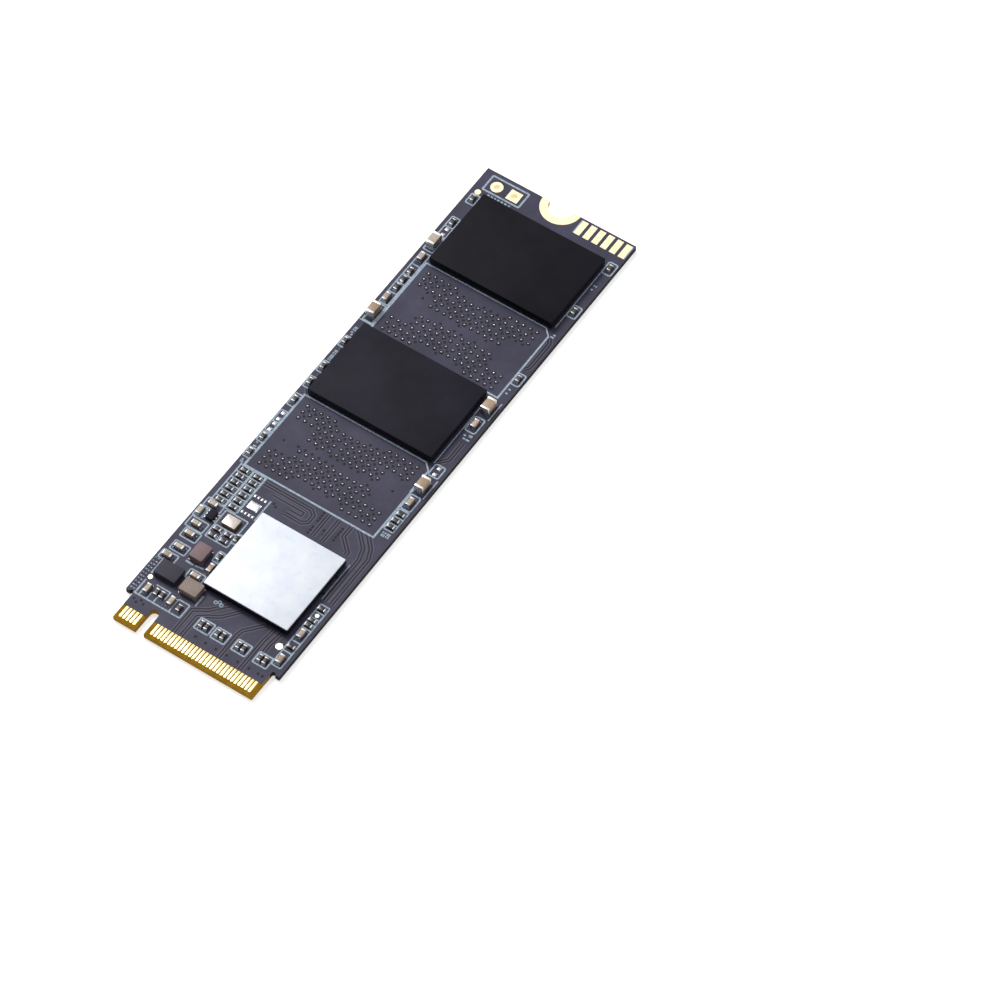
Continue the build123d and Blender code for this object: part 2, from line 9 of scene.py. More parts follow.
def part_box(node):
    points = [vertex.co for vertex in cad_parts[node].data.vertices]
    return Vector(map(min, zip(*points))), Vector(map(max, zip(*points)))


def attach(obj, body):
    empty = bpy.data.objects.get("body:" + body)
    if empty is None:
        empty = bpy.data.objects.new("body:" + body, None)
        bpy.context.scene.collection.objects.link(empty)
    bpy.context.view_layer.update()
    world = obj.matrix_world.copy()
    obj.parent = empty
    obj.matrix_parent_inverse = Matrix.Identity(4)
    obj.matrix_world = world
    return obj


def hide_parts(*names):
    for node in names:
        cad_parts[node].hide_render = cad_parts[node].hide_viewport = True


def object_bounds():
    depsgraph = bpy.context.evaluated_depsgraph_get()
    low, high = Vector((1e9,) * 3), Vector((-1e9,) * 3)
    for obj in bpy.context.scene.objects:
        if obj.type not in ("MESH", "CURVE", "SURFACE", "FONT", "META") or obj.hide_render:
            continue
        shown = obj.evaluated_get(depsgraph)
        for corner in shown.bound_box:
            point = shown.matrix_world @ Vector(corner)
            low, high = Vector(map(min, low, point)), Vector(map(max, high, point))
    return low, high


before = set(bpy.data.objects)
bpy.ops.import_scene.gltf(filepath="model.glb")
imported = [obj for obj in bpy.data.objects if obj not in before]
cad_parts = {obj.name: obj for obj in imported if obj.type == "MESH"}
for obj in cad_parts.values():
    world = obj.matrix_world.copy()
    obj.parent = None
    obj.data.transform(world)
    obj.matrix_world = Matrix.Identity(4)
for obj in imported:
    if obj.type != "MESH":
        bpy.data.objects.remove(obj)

CAD_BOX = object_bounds()
MM = 0.001
random.seed(11)

# ---------------------------------------------------------------- frame values, in millimetres


def box_mm(node):
    """A CAD node's lowest and highest corners, in millimetres."""
    return tuple(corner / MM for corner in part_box(node))


HALF_WIDTH, LENGTH, BOARD_TOP = box_mm("prepreg_top")[1]
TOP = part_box("solder_mask_top")[1].z / MM
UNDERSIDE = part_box("solder_mask_bottom")[0].z / MM
MASK_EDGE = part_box("solder_mask_top")[0].y / MM
SITE_NODES = ("spare_site_1_bumps", "spare_site_2_bumps")
SITES = [box_mm(name) for name in SITE_NODES]
BALL_FIELDS = SITES + [box_mm(f"memory_{number}_solder_balls") for number in (1, 2)]
CONTROLLER_LOW = box_mm("controller_heat_spreader")[0]

# ---------------------------------------------------------------- material helpers


class Nodes:
    """A material's node tree with short ways to add and join nodes."""

    def __init__(self, name):
        self.material = bpy.data.materials.new(name)
        self.material.use_nodes = True
        self.tree = self.material.node_tree
        self.shader = self.tree.nodes["Principled BSDF"]
        self.place = self.add("ShaderNodeTexCoord").outputs["Object"]

    def add(self, kind, inputs=None, **settings):
        """A new node with its settings, and values for inputs that aren't joined."""
        node = self.tree.nodes.new(kind)
        for key, value in settings.items():
            setattr(node, key, value)
        for key, value in (inputs or {}).items():
            node.inputs[key].default_value = value
        return node

    def join(self, source, target):
        self.tree.links.new(source, target)

    def noise(self, size_mm, detail=4.0, roughness=0.55, stretch=None):
        """Noise whose features are about size_mm across."""
        facts = {"Scale": 1 / (size_mm * MM), "Detail": detail, "Roughness": roughness}
        node = self.add("ShaderNodeTexNoise", facts)
        place = self.place
        if stretch:
            mapping = self.add("ShaderNodeMapping", {"Scale": stretch})
            self.join(place, mapping.inputs["Vector"])
            place = mapping.outputs["Vector"]
        self.join(place, node.inputs["Vector"])
        return node.outputs["Fac"]

    def cells(self, size_mm):
        """One random grey per cell of about size_mm."""
        node = self.add("ShaderNodeTexVoronoi", {"Scale": 1 / (size_mm * MM)})
        self.join(self.place, node.inputs["Vector"])
        split = self.add("ShaderNodeSeparateColor")
        self.join(node.outputs["Color"], split.inputs["Color"])
        return split.outputs["Red"]

    def ramp(self, source, stops):
        """A colour ramp over (position, colour) stops."""
        node = self.add("ShaderNodeValToRGB")
        elements = node.color_ramp.elements
        while len(elements) < len(stops):
            elements.new(0.5)
        for element, (position, colour) in zip(elements, stops):
            element.position = position
            element.color = (*colour, 1)
        self.join(source, node.inputs["Fac"])
        return node.outputs["Color"]

    def spread(self, source, low, high):
        """The source's 0.3 to 0.7 spread over low to high."""
        ends = {"From Min": 0.3, "From Max": 0.7, "To Min": low, "To Max": high}
        node = self.add("ShaderNodeMapRange", ends)
        self.join(source, node.inputs["Value"])
        return node.outputs["Result"]

    def mix(self, a, b, factor, blend="MIX"):
        """Two colours mixed by a factor, which is a number or a socket."""
        node = self.add("ShaderNodeMix", data_type="RGBA", blend_type=blend)
        for source, socket in ((a, node.inputs[6]), (b, node.inputs[7])):
            if isinstance(source, tuple):
                socket.default_value = (*source, 1)
            else:
                self.join(source, socket)
        if isinstance(factor, float):
            node.inputs[0].default_value = factor
        else:
            self.join(factor, node.inputs[0])
        return node.outputs[2]

    def bump(self, source, depth_mm, strength=1.0):
        """Bump of a depth in millimetres, after any bump joined before."""
        node = self.add("ShaderNodeBump", {"Distance": depth_mm * MM, "Strength": strength})
        self.join(source, node.inputs["Height"])
        previous = self.shader.inputs["Normal"]
        if previous.is_linked:
            self.join(previous.links[0].from_socket, node.inputs["Normal"])
        self.join(node.outputs["Normal"], previous)

    def finish(self, colour, roughness, metallic=0.0, specular=0.5):
        """Join colour and roughness and set what is the same all over."""
        inputs = self.shader.inputs
        self.join(colour, inputs["Base Color"])
        self.join(roughness, inputs["Roughness"])
        inputs["Metallic"].default_value = metallic
        inputs["Specular IOR Level"].default_value = specular
        return self.material


def mottled(name, dark, light, size_mm, roughness, grain_mm=0.05, grain_depth=0.002, **facts):
    """Two close colours in soft clouds, with a fine grain in bump and roughness."""
    nodes = Nodes(name)
    clouds = nodes.noise(size_mm)
    grain = nodes.noise(grain_mm, detail=3.0)
    colour = nodes.ramp(clouds, [(0.3, dark), (0.7, light)])
    nodes.bump(grain, grain_depth)
    return nodes.finish(colour, nodes.spread(grain, *roughness), **facts)


# ---------------------------------------------------------------- materials


def mask_material(name, dark, light, specular):
    """Solder mask over glass cloth: soft clouds, a faint weave and fine orange peel."""
    nodes = Nodes(name)
    clouds = nodes.noise(6.0, detail=5.0)
    patches = nodes.noise(1.3, detail=2.0)
    peel = nodes.noise(0.12, detail=2.0)
    colour = nodes.ramp(clouds, [(0.32, dark), (0.68, light)])
    shade = nodes.ramp(patches, [(0.35, (0.86, 0.86, 0.88)), (0.65, (1.0, 1.0, 1.0))])
    colour = nodes.mix(colour, shade, 1.0, blend="MULTIPLY")
    for direction in ("X", "Y"):
        facts = {"Scale": 1 / (2.2 * MM), "Distortion": 0.6}
        weave = nodes.add("ShaderNodeTexWave", facts, wave_type="BANDS", bands_direction=direction)
        nodes.join(nodes.place, weave.inputs["Vector"])
        nodes.bump(weave.outputs["Fac"], 0.0012, strength=0.5)
    nodes.bump(peel, 0.002, strength=0.6)
    return nodes.finish(colour, nodes.spread(peel, 0.34, 0.46), specular=specular)


# Where the painted shade on the board's sides starts along the board, and how far round the half hole's
# middle its wall reaches
SHADED_SIDES_FROM = 3.6
HALF_HOLE_REACH = 2.1


def laminate_material():
    """Glass-epoxy: mustard with pale cut fibres on the tongue, near black as painted shade on the sides past
    the tongue, and a clean tan wall in the half hole for the screw."""
    nodes = Nodes("laminate")
    resin = nodes.ramp(nodes.noise(0.8), [(0.3, (0.25, 0.13, 0.002)), (0.7, (0.37, 0.2, 0.005))])
    fibres = nodes.noise(0.05, detail=2.0, stretch=(1.0, 0.25, 1.0))
    pale = nodes.ramp(fibres, [(0.5, (0.0, 0.0, 0.0)), (0.8, (0.14, 0.09, 0.004))])
    colour = nodes.mix(resin, pale, 0.6, blend="ADD")
    split = nodes.add("ShaderNodeSeparateXYZ")
    nodes.join(nodes.place, split.inputs["Vector"])
    ends = {"From Min": SHADED_SIDES_FROM * MM, "From Max": (SHADED_SIDES_FROM + 0.1) * MM}
    painted_side_shade = nodes.add("ShaderNodeMapRange", ends)
    nodes.join(split.outputs["Y"], painted_side_shade.inputs["Value"])
    # Painted shade: past the tongue the laminate turns near black, so the board's sides read as in shadow
    colour = nodes.mix(colour, (0.018, 0.012, 0.008), painted_side_shade.outputs["Result"])
    middle = (0, LENGTH * MM, BOARD_TOP * MM)
    from_hole = nodes.add("ShaderNodeVectorMath", {1: middle}, operation="DISTANCE")
    nodes.join(nodes.place, from_hole.inputs[0])
    drilled = nodes.add("ShaderNodeMath", {1: HALF_HOLE_REACH * MM}, operation="LESS_THAN")
    nodes.join(from_hole.outputs["Value"], drilled.inputs[0])
    colour = nodes.mix(colour, (0.62, 0.47, 0.24), drilled.outputs["Value"])
    nodes.bump(fibres, 0.004)
    return nodes.finish(colour, nodes.spread(fibres, 0.55, 0.8), specular=0.08)


def gold_material(name, dark, light):
    """Gold plating over nickel: warm, with fine rubbing marks along the board."""
    nodes = Nodes(name)
    tone = nodes.ramp(nodes.noise(0.7), [(0.3, dark), (0.7, light)])
    rub = nodes.noise(0.03, detail=2.0, stretch=(1.0, 0.08, 1.0))
    nodes.bump(rub, 0.0015)
    nodes.bump(nodes.noise(0.25), 0.004)
    return nodes.finish(tone, nodes.spread(rub, 0.24, 0.4), metallic=1.0)


def metal_material(name, dark, light, roughness, size_mm=0.4):
    """Tin, solder or copper, softly uneven."""
    nodes = Nodes(name)
    tone = nodes.ramp(nodes.noise(size_mm), [(0.3, dark), (0.7, light)])
    fine = nodes.noise(0.06, detail=3.0)
    nodes.bump(nodes.noise(0.22), 0.012)
    nodes.bump(fine, 0.002)
    return nodes.finish(tone, nodes.spread(fine, *roughness), metallic=1.0)


def spreader_material():
    """Fine satin nickel plate, nearly white, with faint wiping marks."""
    nodes = Nodes("heat_spreader")
    tone = nodes.ramp(nodes.noise(2.6, detail=3.0), [(0.35, (0.66, 0.7, 0.78)), (0.7, (0.74, 0.77, 0.82))])
    smear = nodes.noise(0.9, detail=4.0)
    blotch = nodes.ramp(smear, [(0.52, (1.0, 1.0, 1.0)), (0.62, (0.955, 0.96, 0.972))])
    colour = nodes.mix(tone, blotch, 1.0, blend="MULTIPLY")
    brush = nodes.noise(0.05, detail=2.0, stretch=(0.12, 1.0, 1.0))
    nodes.bump(brush, 0.0008)
    return nodes.finish(colour, nodes.spread(brush, 0.42, 0.54), metallic=0.3)


def mould_material(name, dark, light, specular):
    """Black moulding compound: matte, with fine filler speckle."""
    nodes = Nodes(name)
    clouds = nodes.ramp(nodes.noise(6.5, detail=5.0), [(0.34, dark), (0.66, light)])
    speckle = nodes.ramp(nodes.cells(0.07), [(0.0, (0.86, 0.86, 0.86)), (1.0, (1.12, 1.12, 1.12))])
    colour = nodes.mix(clouds, speckle, 1.0, blend="MULTIPLY")
    grain = nodes.noise(0.08, detail=3.0)
    nodes.bump(grain, 0.004)
    return nodes.finish(colour, nodes.spread(grain, 0.5, 0.66), specular=specular)


def part_to_part(name, colours, size_mm, roughness, specular=0.5):
    """One colour per small part, from a random grey per cell, with fine grain."""
    nodes = Nodes(name)
    steps = [(i / (len(colours) - 1), colour) for i, colour in enumerate(colours)]
    tone = nodes.ramp(nodes.cells(size_mm), steps)
    grain = nodes.noise(0.05, detail=3.0)
    shade = nodes.ramp(grain, [(0.3, (0.9, 0.9, 0.9)), (0.7, (1.06, 1.06, 1.06))])
    nodes.bump(grain, 0.002)
    return nodes.finish(
        nodes.mix(tone, shade, 1.0, blend="MULTIPLY"), nodes.spread(grain, *roughness), specular=specular
    )


def ink_material():
    """White legend ink: pale blue-grey, thin in places, with a rough print edge."""
    nodes = Nodes("legend_ink")
    tone = nodes.ramp(
        nodes.noise(0.25, detail=5.0, roughness=0.7),
        [(0.32, (0.22, 0.29, 0.38)), (0.5, (0.42, 0.52, 0.62)), (0.72, (0.62, 0.7, 0.78))],
    )
    grain = nodes.noise(0.06)
    nodes.bump(grain, 0.004)
    return nodes.finish(tone, nodes.spread(grain, 0.55, 0.8), specular=0.25)


MASK_TOP = mask_material("solder_mask_top", (0.043, 0.04, 0.073), (0.073, 0.068, 0.118), 0.2)
MASK_BOTTOM = mask_material("solder_mask_bottom", (0.034, 0.032, 0.05), (0.046, 0.043, 0.064), 0.2)
TRACE_TOP = mottled(
    "mask_over_trace", (0.078, 0.075, 0.115), (0.108, 0.103, 0.152), 2.0, (0.3, 0.42), specular=0.24
)
TRACE_BOTTOM = mottled(
    "mask_over_trace_below", (0.056, 0.053, 0.078), (0.077, 0.073, 0.102), 2.0, (0.3, 0.42), specular=0.26
)
TRENCH = mottled(
    "mask_over_bare_board", (0.016, 0.014, 0.022), (0.026, 0.023, 0.034), 1.5, (0.35, 0.5), specular=0.16
)
VIA_PLUG = mottled("via_plug", (0.008, 0.007, 0.01), (0.016, 0.014, 0.02), 0.3, (0.4, 0.6), specular=0.2)
LAMINATE = laminate_material()
GOLD = gold_material("gold", (0.9, 0.74, 0.44), (0.98, 0.85, 0.6))
FINGER_GOLD = gold_material("finger_gold", (0.85, 0.64, 0.29), (0.94, 0.75, 0.41))
BUMP = metal_material("solder_bump", (0.2, 0.2, 0.23), (0.4, 0.4, 0.44), (0.12, 0.24), size_mm=0.5)
COPPER = metal_material("copper", (0.6, 0.3, 0.16), (0.75, 0.42, 0.25), (0.3, 0.45))
SOLDER = metal_material("solder", (0.42, 0.43, 0.46), (0.62, 0.63, 0.66), (0.2, 0.36))
TIN = metal_material("tin_plate", (0.6, 0.56, 0.5), (0.8, 0.76, 0.7), (0.32, 0.5))
DULL_TIN = metal_material("dull_tin_plate", (0.34, 0.33, 0.33), (0.52, 0.5, 0.49), (0.34, 0.52))
MOULD = mould_material("mould_compound", (0.0105, 0.0098, 0.0165), (0.0195, 0.0183, 0.03), 0.12)
# Painted shade: a darker copy of the mould compound for the far memory package
SHADED_FAR_MOULD = mould_material(
    "mould_compound_far_painted_shade", (0.005, 0.0048, 0.0085), (0.0105, 0.0098, 0.016), 0.1
)
POWER_MOULD = mould_material("power_chip_mould", (0.05, 0.047, 0.066), (0.063, 0.06, 0.082), 0.2)
SUBSTRATE = mottled(
    "package_substrate", (0.006, 0.007, 0.007), (0.012, 0.013, 0.013), 1.0, (0.4, 0.6), specular=0.2
)
SILICON = metal_material("silicon", (0.2, 0.21, 0.25), (0.3, 0.31, 0.35), (0.08, 0.15), size_mm=3.0)
SPREADER = spreader_material()
BROWN_CORE = mould_material("brown_powder_core", (0.2, 0.135, 0.145), (0.28, 0.195, 0.203), 0.3)
GREY_CORE = mould_material("grey_powder_core", (0.27, 0.208, 0.175), (0.35, 0.278, 0.24), 0.3)
CRYSTAL_CERAMIC = mottled("crystal_ceramic", (0.22, 0.11, 0.03), (0.32, 0.18, 0.06), 0.4, (0.5, 0.7))
CRYSTAL_CAP = metal_material("crystal_cap", (0.47, 0.42, 0.385), (0.58, 0.53, 0.48), (0.3, 0.46))
QUARTZ = mottled("quartz", (0.7, 0.73, 0.76), (0.8, 0.83, 0.86), 0.5, (0.05, 0.12))
CERAMIC = part_to_part(
    "capacitor_ceramic",
    [(0.5, 0.34, 0.24), (0.62, 0.46, 0.34), (0.4, 0.26, 0.17), (0.58, 0.5, 0.42), (0.55, 0.38, 0.31)],
    2.3,
    (0.32, 0.5),
)
DARK_CERAMIC = part_to_part(
    "small_capacitor_ceramic",
    [(0.035, 0.026, 0.026), (0.07, 0.05, 0.042), (0.05, 0.04, 0.036)],
    1.7,
    (0.3, 0.5),
)
GLAZE = part_to_part(
    "resistor_glaze", [(0.012, 0.012, 0.016), (0.03, 0.028, 0.034), (0.02, 0.02, 0.026)], 1.6, (0.2, 0.4)
)
INK_PAINT = ink_material()

NODE_MATERIALS = {
    LAMINATE: ["laminate_core", "prepreg_top", "prepreg_bottom"],
    COPPER: ["ground_plane", "power_plane", "inductor_1_coil", "inductor_2_coil"],
    MASK_TOP: ["solder_mask_top"],
    MASK_BOTTOM: ["solder_mask_bottom"],
    FINGER_GOLD: ["contacts_top", "contacts_bottom"],
    GOLD: ["screw_land_top", "screw_land_bottom", "edge_pads_top", "edge_pads_bottom", "gold_dots_top"]
    + ["gold_dots_bottom", "jumper_hole_round", "jumper_hole_square", "spare_chip_pad"],
    SOLDER: ["tinned_pads_top", "tinned_pads_bottom", "spare_chip_solder", "memory_1_solder_balls"]
    + ["memory_2_solder_balls", "controller_solder_balls"],
    BUMP: ["spare_site_1_bumps", "spare_site_2_bumps"],
    MOULD: ["memory_1_body", "controller_body", "regulator_body"],
    SHADED_FAR_MOULD: ["memory_2_body"],
    POWER_MOULD: ["power_chip_body"],
    SUBSTRATE: ["memory_1_substrate", "memory_2_substrate", "controller_substrate"],
    SILICON: ["memory_1_die_stack", "memory_2_die_stack", "controller_die"],
    SPREADER: ["controller_heat_spreader"],
    TIN: ["power_chip_pads", "inductor_1_terminals", "inductor_2_terminals", "regulator_leads"]
    + ["large_capacitor_ends", "small_capacitor_ends", "resistor_ends"],
    BROWN_CORE: ["inductor_1_body"],
    GREY_CORE: ["inductor_2_body"],
    CRYSTAL_CERAMIC: ["crystal_base"],
    CRYSTAL_CAP: ["crystal_lid"],
    QUARTZ: ["quartz_blank"],
    CERAMIC: ["large_capacitor_bodies", "small_capacitor_bodies"],
    GLAZE: ["resistor_bodies"],
}
for material, names in NODE_MATERIALS.items():
    for name in names:
        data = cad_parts[name].data
        data.materials.clear()
        data.materials.append(material)

# ---------------------------------------------------------------- mesh helpers


def add_object(name, data):
    """A new object in the scene's collection."""
    thing = bpy.data.objects.new(name, data)
    bpy.context.scene.collection.objects.link(thing)
    return thing


def piece(name, mesh, materials):
    """Put a finished mesh, made in millimetres, into the scene as a piece on the root body."""
    bmesh.ops.recalc_face_normals(mesh, faces=mesh.faces)
    data = bpy.data.meshes.new(name)
    mesh.to_mesh(data)
    mesh.free()
    data.transform(Matrix.Scale(MM, 4))
    for material in materials:
        data.materials.append(material)
    thing = add_object(name, data)
    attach(thing, "root")
    return thing


def islands(node):
    """(low, high) box in millimetres of each separate solid in a CAD node."""
    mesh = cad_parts[node].data
    points = [tuple(round(c / MM, 4) for c in vertex.co) for vertex in mesh.vertices]
    home = {}
    for point in points:
        home.setdefault(point, point)

    def root(point):
        while home[point] != point:
            home[point] = home[home[point]]
            point = home[point]
        return point

    for polygon in mesh.polygons:
        first = root(points[polygon.vertices[0]])
        for index in polygon.vertices[1:]:
            home[root(points[index])] = first
    groups = {}
    for point in home:
        groups.setdefault(root(point), []).append(point)
    boxes = [(Vector(map(min, zip(*group))), Vector(map(max, zip(*group)))) for group in groups.values()]
    return sorted(boxes, key=lambda box: tuple(box[0]))


def arc(centre, radius, start, end, steps):
    """Points along an arc, angles in degrees."""
    turns = [math.radians(start + (end - start) * i / steps) for i in range(steps + 1)]
    return [(centre[0] + radius * math.cos(turn), centre[1] + radius * math.sin(turn)) for turn in turns]


def rounded_frame(x0, x1, y0, y1, radius):
    """Closed outline of a rectangle with round corners."""
    left, right, front, back = x0 + radius, x1 - radius, y0 + radius, y1 - radius
    outline = []
    for quarter, centre in enumerate(((right, back), (left, back), (left, front), (right, front))):
        outline += arc(centre, radius, 90 * quarter, 90 * quarter + 90, 3)
    return outline


def bridge(mesh, a, b):
    """Faces round between two rings of as many vertices."""
    faces = []
    for i in range(len(a)):
        k = (i + 1) % len(a)
        faces.append(mesh.faces.new((a[i], a[k], b[k], b[i])))
    return faces


def mitred(points, closed=False):
    """Each point of a path with the direction across it, and how far that stretches at the corner."""
    points = [Vector(p) for p in points]
    last = len(points) - 1
    for i, point in enumerate(points):
        before = points[i - 1] if closed or i else None
        after = points[(i + 1) % len(points)] if closed or i < last else None
        into = (point - before).normalized() if before is not None else (after - point).normalized()
        out = (after - point).normalized() if after is not None else into
        side = Vector((-(into + out).y, (into + out).x)).normalized()
        yield point, side, 1 / max(side.dot(Vector((-into.y, into.x))), 0.5)


def add_ribbon(mesh, points, width, z, height, closed=False):
    """A flat-topped strip along points, standing height above z, or hanging below it when negative."""
    slope = min(abs(height), width * 0.3)
    rows = []
    for point, side, stretch in mitred(points, closed):
        outer = side * width / 2 * stretch
        inner = side * (width / 2 - slope) * stretch
        levels = z, z + height, z + height, z
        spots = point + outer, point + inner, point - inner, point - outer
        rows.append([mesh.verts.new((*spot, level)) for spot, level in zip(spots, levels)])
    for a, b in zip(rows, rows[1:] + rows[:1] if closed else rows[1:]):
        bridge(mesh, a, b)
    if not closed:
        mesh.faces.new(rows[0])
        mesh.faces.new(rows[-1])


def add_lathe(mesh, centre, profile, z, sign=1, steps=12, plug_rings=0):
    """A solid of revolution from (radius, height) points, outermost first. The last plug_rings rings get
    the second material."""
    turns = [2 * math.pi * i / steps for i in range(steps)]
    rings = []
    for radius, height in profile:
        places = [(centre[0] + radius * math.cos(a), centre[1] + radius * math.sin(a)) for a in turns]
        rings.append([mesh.verts.new((*place, z + sign * height)) for place in places])
    mesh.faces.new(rings[0])
    for level, (outer, inner) in enumerate(zip(rings, rings[1:])):
        for face in bridge(mesh, outer, inner):
            face.material_index = int(level >= len(rings) - 1 - plug_rings)
    cap = mesh.faces.new(rings[-1])
    cap.material_index = int(plug_rings > 0)


def round_edges(mesh, edges, bevel, segments):
    """Bevel the edges, fuller than a plain arc."""
    bmesh.ops.bevel(
        mesh, geom=edges, offset=bevel, segments=segments, affect="EDGES", profile=0.6, clamp_overlap=True
    )


def add_block(mesh, low, high, bevel, segments=2):
    """A box with rounded edges."""
    made = bmesh.ops.create_cube(mesh, size=1.0)["verts"]
    centre, size = (low + high) / 2, high - low
    for vertex in made:
        vertex.co = Vector(c + s * v for c, s, v in zip(centre, size, vertex.co))
    round_edges(mesh, list(dict.fromkeys(e for v in made for e in v.link_edges)), bevel, segments)


def shade_smooth(thing):
    """Smooth shading but for sharp edges."""
    for polygon in thing.data.polygons:
        polygon.use_smooth = True
    with bpy.context.temp_override(
        object=thing, active_object=thing, selected_objects=[thing], selected_editable_objects=[thing]
    ):
        bpy.ops.object.shade_smooth_by_angle(angle=math.radians(40))


# ---------------------------------------------------------------- chip passives


def pair_up(bodies, ends):
    """Each body's box with the boxes of the two metal ends that touch it."""
    found = []
    for low, high in bodies:
        middle = (low + high) / 2
        near = sorted(ends, key=lambda box: ((box[0] + box[1]) / 2 - middle).length)[:2]
        found.append(((low, high), near))
    return found


# Ceramic capacitors shorter than this are dark, and longer ones tan
SHORTEST_TAN = 1.1
# How far a body reaches into its metal ends
BODY_REACH = 0.06
X, Y, Z = Vector((1, 0, 0)), Vector((0, 1, 0)), Vector((0, 0, 1))


def build_passives(kind, body_materials, end_material, slot_name, bevel, inset):
    """Rounded bodies, wrapped metal ends and solder fillets in place of the CAD's plain blocks. Returns
    each part's box, ends included."""
    body_mesh, end_mesh, fillet_mesh = bmesh.new(), bmesh.new(), bmesh.new()
    boxes = []
    for (low, high), ends in pair_up(islands(f"{kind}_bodies"), islands(f"{kind}_ends")):
        middle = (low + high) / 2
        apart = ends[0][0] - ends[1][0]
        along, across = (Y, X) if abs(apart.y) > abs(apart.x) else (X, Y)
        trim = across * inset + Z * inset
        faces_before = len(body_mesh.faces)
        add_block(body_mesh, low - along * BODY_REACH + trim, high + along * BODY_REACH - trim, bevel * 0.6)
        length = max(abs(c) for c in (ends[0][0] - ends[1][1]).xy)
        body_mesh.faces.ensure_lookup_table()
        for face in body_mesh.faces[faces_before:]:
            face.material_index = int(length < SHORTEST_TAN and len(body_materials) > 1)
        for end_low, end_high in ends:
            add_block(end_mesh, end_low, end_high, bevel)
            outward = (end_low + end_high) / 2 - middle
            outward.z = 0
            add_fillet(fillet_mesh, end_low, end_high, outward.normalized())
        lows, highs = zip((low, high), *ends)
        boxes.append((Vector(map(min, *lows)), Vector(map(max, *highs))))
    made = piece(f"{kind}_bodies_rounded", body_mesh, body_materials)
    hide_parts(f"{kind}_bodies")
    shade_smooth(made)
    made = piece(f"{kind}_ends_wrapped", end_mesh, [end_material])
    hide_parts(f"{kind}_ends")
    shade_smooth(made)
    shade_smooth(piece(f"{kind}_solder_fillets", fillet_mesh, [SOLDER]))
    return boxes


# A fillet's profile as (run from the end's face, share of the end's height), and its root inside the end
FILLET_PROFILE = [(0.0, 0.62), (0.02, 0.4), (0.05, 0.2), (0.09, 0.08), (0.13, 0.0)]
FILLET_ROOT = 0.03


def add_fillet(mesh, low, high, outward):
    """Hollow solder meniscus from an end's outer face down to its pad."""
    across = Vector((-outward.y, outward.x, 0))
    middle = (low + high) / 2
    half_run = abs((high - low).dot(outward)) / 2
    half_width = abs((high - low).dot(across)) / 2
    height = high.z - low.z
    base = Vector((middle.x, middle.y, low.z)) + outward * (half_run - FILLET_ROOT)
    rows = []
    for side in (-1, -0.55, 0.55, 1):
        fall = 0.75 if abs(side) == 1 else 1.0
        foot = base + across * side * half_width * 0.98
        row = [mesh.verts.new(foot)]
        for run, rise in FILLET_PROFILE:
            spot = foot + outward * (FILLET_ROOT + run * fall) + Vector((0, 0, rise * height * fall))
            row.append(mesh.verts.new(spot))
        rows.append(row)
    for a, b in zip(rows, rows[1:]):
        bridge(mesh, a, b)
    mesh.faces.new(rows[0])
    mesh.faces.new(rows[-1])


PASSIVES = [
    ("large_capacitor", [CERAMIC], TIN, "capacitor_ceramic", 0.09, 0.04),
    ("small_capacitor", [CERAMIC, DARK_CERAMIC], DULL_TIN, "capacitor_ceramic", 0.05, 0.025),
    ("resistor", [GLAZE], DULL_TIN, "resistor_glaze", 0.035, 0.0),
]
passive_boxes = [box for facts in PASSIVES for box in build_passives(*facts)]

# ---------------------------------------------------------------- rounded copies of plain CAD blocks

# Smallest angle between two faces, in radians, at which the edge between them is rounded
SHARP_ANGLE = 0.5


def rounded_copy(node, bevel):
    """A piece with the node's outer shape and rounded edges, in place of the node."""
    mesh = bmesh.new()
    mesh.from_mesh(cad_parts[node].data)
    bmesh.ops.scale(mesh, vec=(1 / MM,) * 3, verts=mesh.verts)
    bmesh.ops.remove_doubles(mesh, verts=mesh.verts, dist=0.001)
    bmesh.ops.dissolve_limit(mesh, angle_limit=math.radians(2), verts=mesh.verts, edges=mesh.edges)
    drop_inner_walls(mesh)
    outer = [edge for edge in mesh.edges if len(edge.link_faces) == 2]
    round_edges(mesh, [edge for edge in outer if edge.calc_face_angle() > SHARP_ANGLE], bevel, 2)
    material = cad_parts[node].data.materials[0]
    made = piece(f"{node}_rounded", mesh, [material])
    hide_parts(node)
    shade_smooth(made)


def drop_inner_walls(mesh):
    """Delete the walls of a sealed hollow: connected walls that lie wholly inside others."""
    groups = []
    left = set(mesh.verts)
    while left:
        stack = [left.pop()]
        group = set(stack)
        while stack:
            for edge in stack.pop().link_edges:
                for vertex in edge.verts:
                    if vertex in left:
                        left.remove(vertex)
                        group.add(vertex)
                        stack.append(vertex)
        corners = [tuple(v.co) for v in group]
        groups.append((tuple(map(min, zip(*corners))), tuple(map(max, zip(*corners))), group))
    for low, high, group in groups:
        if any(lies_within(low, high, *other[:2]) for other in groups):
            bmesh.ops.delete(mesh, geom=list(group), context="VERTS")


def lies_within(low, high, outer_low, outer_high):
    """Whether a box lies wholly inside another."""
    return all(a > b for a, b in zip(low + outer_high, outer_low + high))


ROUNDED = {
    "memory_1_body": 0.05,
    "memory_2_body": 0.05,
    "controller_body": 0.03,
    "power_chip_body": 0.035,
    "inductor_1_body": 0.07,
    "inductor_2_body": 0.07,
    "regulator_body": 0.05,
    "crystal_lid": 0.035,
    "contacts_top": 0.018,
    "contacts_bottom": 0.018,
    "controller_heat_spreader": 0.015,
}
for name, bevel in ROUNDED.items():
    rounded_copy(name, bevel)

# ---------------------------------------------------------------- solder


